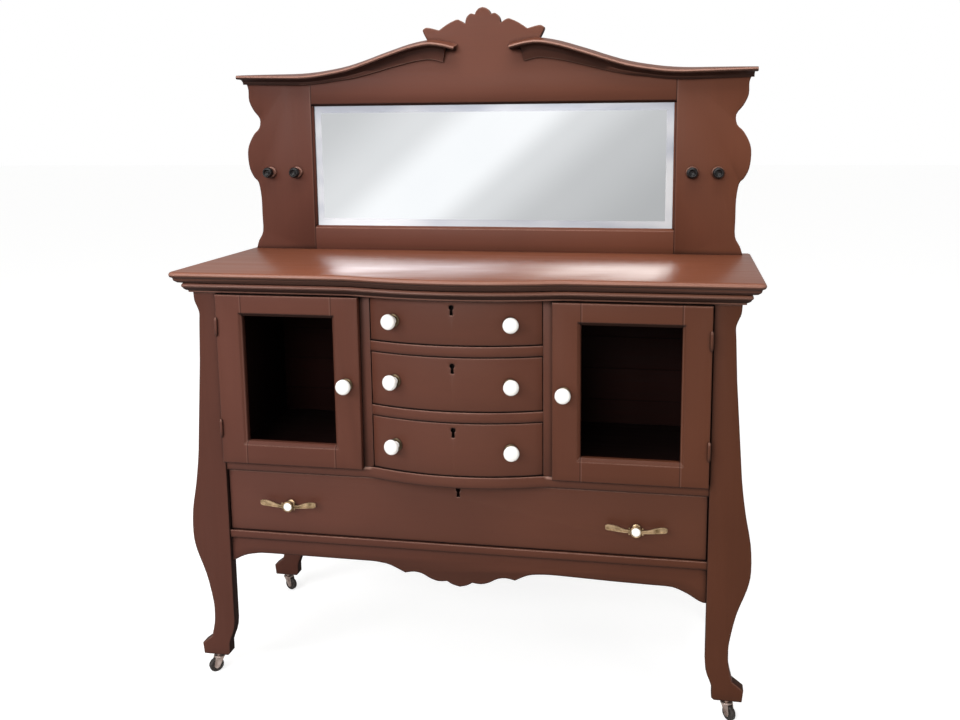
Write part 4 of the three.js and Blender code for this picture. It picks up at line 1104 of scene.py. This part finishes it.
def seen_directly(tree):
    """1 for camera rays, and less for glossy ones."""
    path = tree.nodes.new("ShaderNodeLightPath")
    node = tree.nodes.new("ShaderNodeMath")
    node.operation = "MULTIPLY_ADD"
    tree.links.new(path.outputs["Is Glossy Ray"], node.inputs[0])
    node.inputs[1].default_value = GLOSSY_SHARE
    tree.links.new(path.outputs["Is Camera Ray"], node.inputs[2])
    return node.outputs[0]


def build_floor():
    """A pale floor that glows to the camera, so that only the object's shadow shows on it."""
    floor = plain_sheet("floor", [(x * FLOOR_HALF, y * FLOOR_HALF, 0)
                                  for x, y in ((-1, -1), (1, -1), (1, 1), (-1, 1))])
    material = bpy.data.materials.new("pale_floor")
    material.use_nodes = True
    tree = material.node_tree
    shader = tree.nodes["Principled BSDF"]
    noise = tree.nodes.new("ShaderNodeTexNoise")
    noise.inputs["Scale"].default_value = 3.0
    ramp = tree.nodes.new("ShaderNodeMapRange")
    ramp.inputs[3].default_value = 0.78
    ramp.inputs[4].default_value = 0.86
    tree.links.new(noise.outputs[0], ramp.inputs[0])
    tree.links.new(ramp.outputs[0], shader.inputs["Roughness"])
    shader.inputs["Base Color"].default_value = (*FLOOR, 1)
    shader.inputs["Specular IOR Level"].default_value = 0.1
    shader.inputs["Emission Color"].default_value = (1, 1, 1, 1)
    glow = tree.nodes.new("ShaderNodeMath")
    glow.operation = "MULTIPLY"
    glow.inputs[1].default_value = FLOOR_GLOW
    tree.links.new(seen_directly(tree), glow.inputs[0])
    tree.links.new(glow.outputs[0], shader.inputs["Emission Strength"])
    floor.data.materials.append(material)


def build_front_wall():
    """The studio's front wall, which the mirror shows, a sheet that glows with a painted soft slanting band
    of light.
    """
    wall = plain_sheet("front_wall", [(x * WALL_HALF, WALL_PLACE, z * WALL_HEIGHT)
                                      for x, z in ((-1, 0), (1, 0), (1, 1), (-1, 1))])
    for ray in ("camera", "diffuse", "shadow"):
        setattr(wall, f"visible_{ray}", False)
    material = bpy.data.materials.new("glowing_wall")
    material.use_nodes = True
    tree = material.node_tree
    tree.nodes.clear()
    output = tree.nodes.new("ShaderNodeOutputMaterial")
    glow = tree.nodes.new("ShaderNodeEmission")
    ramp = tree.nodes.new("ShaderNodeValToRGB")
    ramp.color_ramp.interpolation = "EASE"
    turned = tree.nodes.new("ShaderNodeVectorMath")
    turned.operation = "DOT_PRODUCT"
    turned.inputs[1].default_value = (BAND_ACROSS[0], 0, BAND_ACROSS[1])
    place = tree.nodes.new("ShaderNodeTexCoord")
    share = tree.nodes.new("ShaderNodeMapRange")
    middle = BAND_MIDDLE[0] * BAND_ACROSS[0] + BAND_MIDDLE[1] * BAND_ACROSS[1]
    share.inputs[1].default_value = middle - BAND_REACH
    share.inputs[2].default_value = middle + BAND_REACH
    stops = ramp.color_ramp.elements
    stops[0].position = BAND_LEVELS[0][0]
    stops[1].position = BAND_LEVELS[-1][0]
    for at, _ in BAND_LEVELS[1:-1]:
        stops.new(at)
    for stop, (_, level) in zip(stops, BAND_LEVELS):
        stop.color = (level, level, level * BAND_BLUE, 1)
    tree.links.new(place.outputs["Object"], turned.inputs[0])
    tree.links.new(turned.outputs["Value"], share.inputs[0])
    tree.links.new(share.outputs[0], ramp.inputs[0])
    tree.links.new(ramp.outputs[0], glow.inputs["Color"])
    tree.links.new(glow.outputs[0], output.inputs[0])
    wall.data.materials.append(material)


def build_world():
    """White to the camera, and a soft sky, brighter overhead, to everything else."""
    world = bpy.data.worlds.new("studio")
    bpy.context.scene.world = world
    world.use_nodes = True
    tree = world.node_tree
    background = tree.nodes["Background"]
    background.inputs["Color"].default_value = (1, 1, 1, 1)
    direction = tree.nodes.new("ShaderNodeTexCoord")
    parts = tree.nodes.new("ShaderNodeSeparateXYZ")
    tree.links.new(direction.outputs["Generated"], parts.inputs[0])
    sky = tree.nodes.new("ShaderNodeMapRange")
    for index, value in enumerate(SKY_LEVELS, start=3):
        sky.inputs[index].default_value = value
    tree.links.new(parts.outputs[2], sky.inputs[0])
    level = tree.nodes.new("ShaderNodeMapRange")
    level.inputs[4].default_value = 1.0
    tree.links.new(seen_directly(tree), level.inputs[0])
    tree.links.new(sky.outputs[0], level.inputs[3])
    tree.links.new(level.outputs[0], background.inputs["Strength"])


def build_light(name, place, target, size, power, colour):
    lamp = bpy.data.lights.new(name, "AREA")
    lamp.color = colour
    lamp.shape = "RECTANGLE"
    lamp.size, lamp.size_y = size
    lamp.energy = power
    holder = bpy.data.objects.new(name, lamp)
    bpy.context.scene.collection.objects.link(holder)
    holder.location = place
    holder.rotation_mode = "QUATERNION"
    holder.rotation_quaternion = (Vector(target) - Vector(place)).to_track_quat("-Z", "Y")
    holder.visible_camera = False


def build_camera():
    forward = Vector((-math.sin(CAMERA_YAW) * math.cos(CAMERA_PITCH),
                      math.cos(CAMERA_YAW) * math.cos(CAMERA_PITCH), -math.sin(CAMERA_PITCH)))
    right = Vector((math.cos(CAMERA_YAW), math.sin(CAMERA_YAW), 0))
    down = forward.cross(right)
    across = right * math.cos(CAMERA_ROLL) + down * math.sin(CAMERA_ROLL)
    fall = down * math.cos(CAMERA_ROLL) - right * math.sin(CAMERA_ROLL)
    turn = Matrix((across, -fall, -forward)).transposed().to_4x4()
    width, height = IMAGE_SIZE
    data = bpy.data.cameras.new("camera")
    data.sensor_width = SENSOR_WIDTH
    data.lens = FOCAL_PIXELS * SENSOR_WIDTH / width
    data.shift_x = (width / 2 - PRINCIPAL_PIXEL[0]) / width
    data.shift_y = (PRINCIPAL_PIXEL[1] - height / 2) / width
    data.clip_end = CAMERA_SIGHT
    camera = bpy.data.objects.new("camera", data)
    bpy.context.scene.collection.objects.link(camera)
    camera.matrix_world = Matrix.Translation(CAMERA_PLACE) @ turn
    bpy.context.scene.camera = camera


build_floor()
build_front_wall()
build_world()
for lamp in LAMPS:
    build_light(*lamp)
build_camera()
bpy.context.scene.view_settings.view_transform = "Standard"
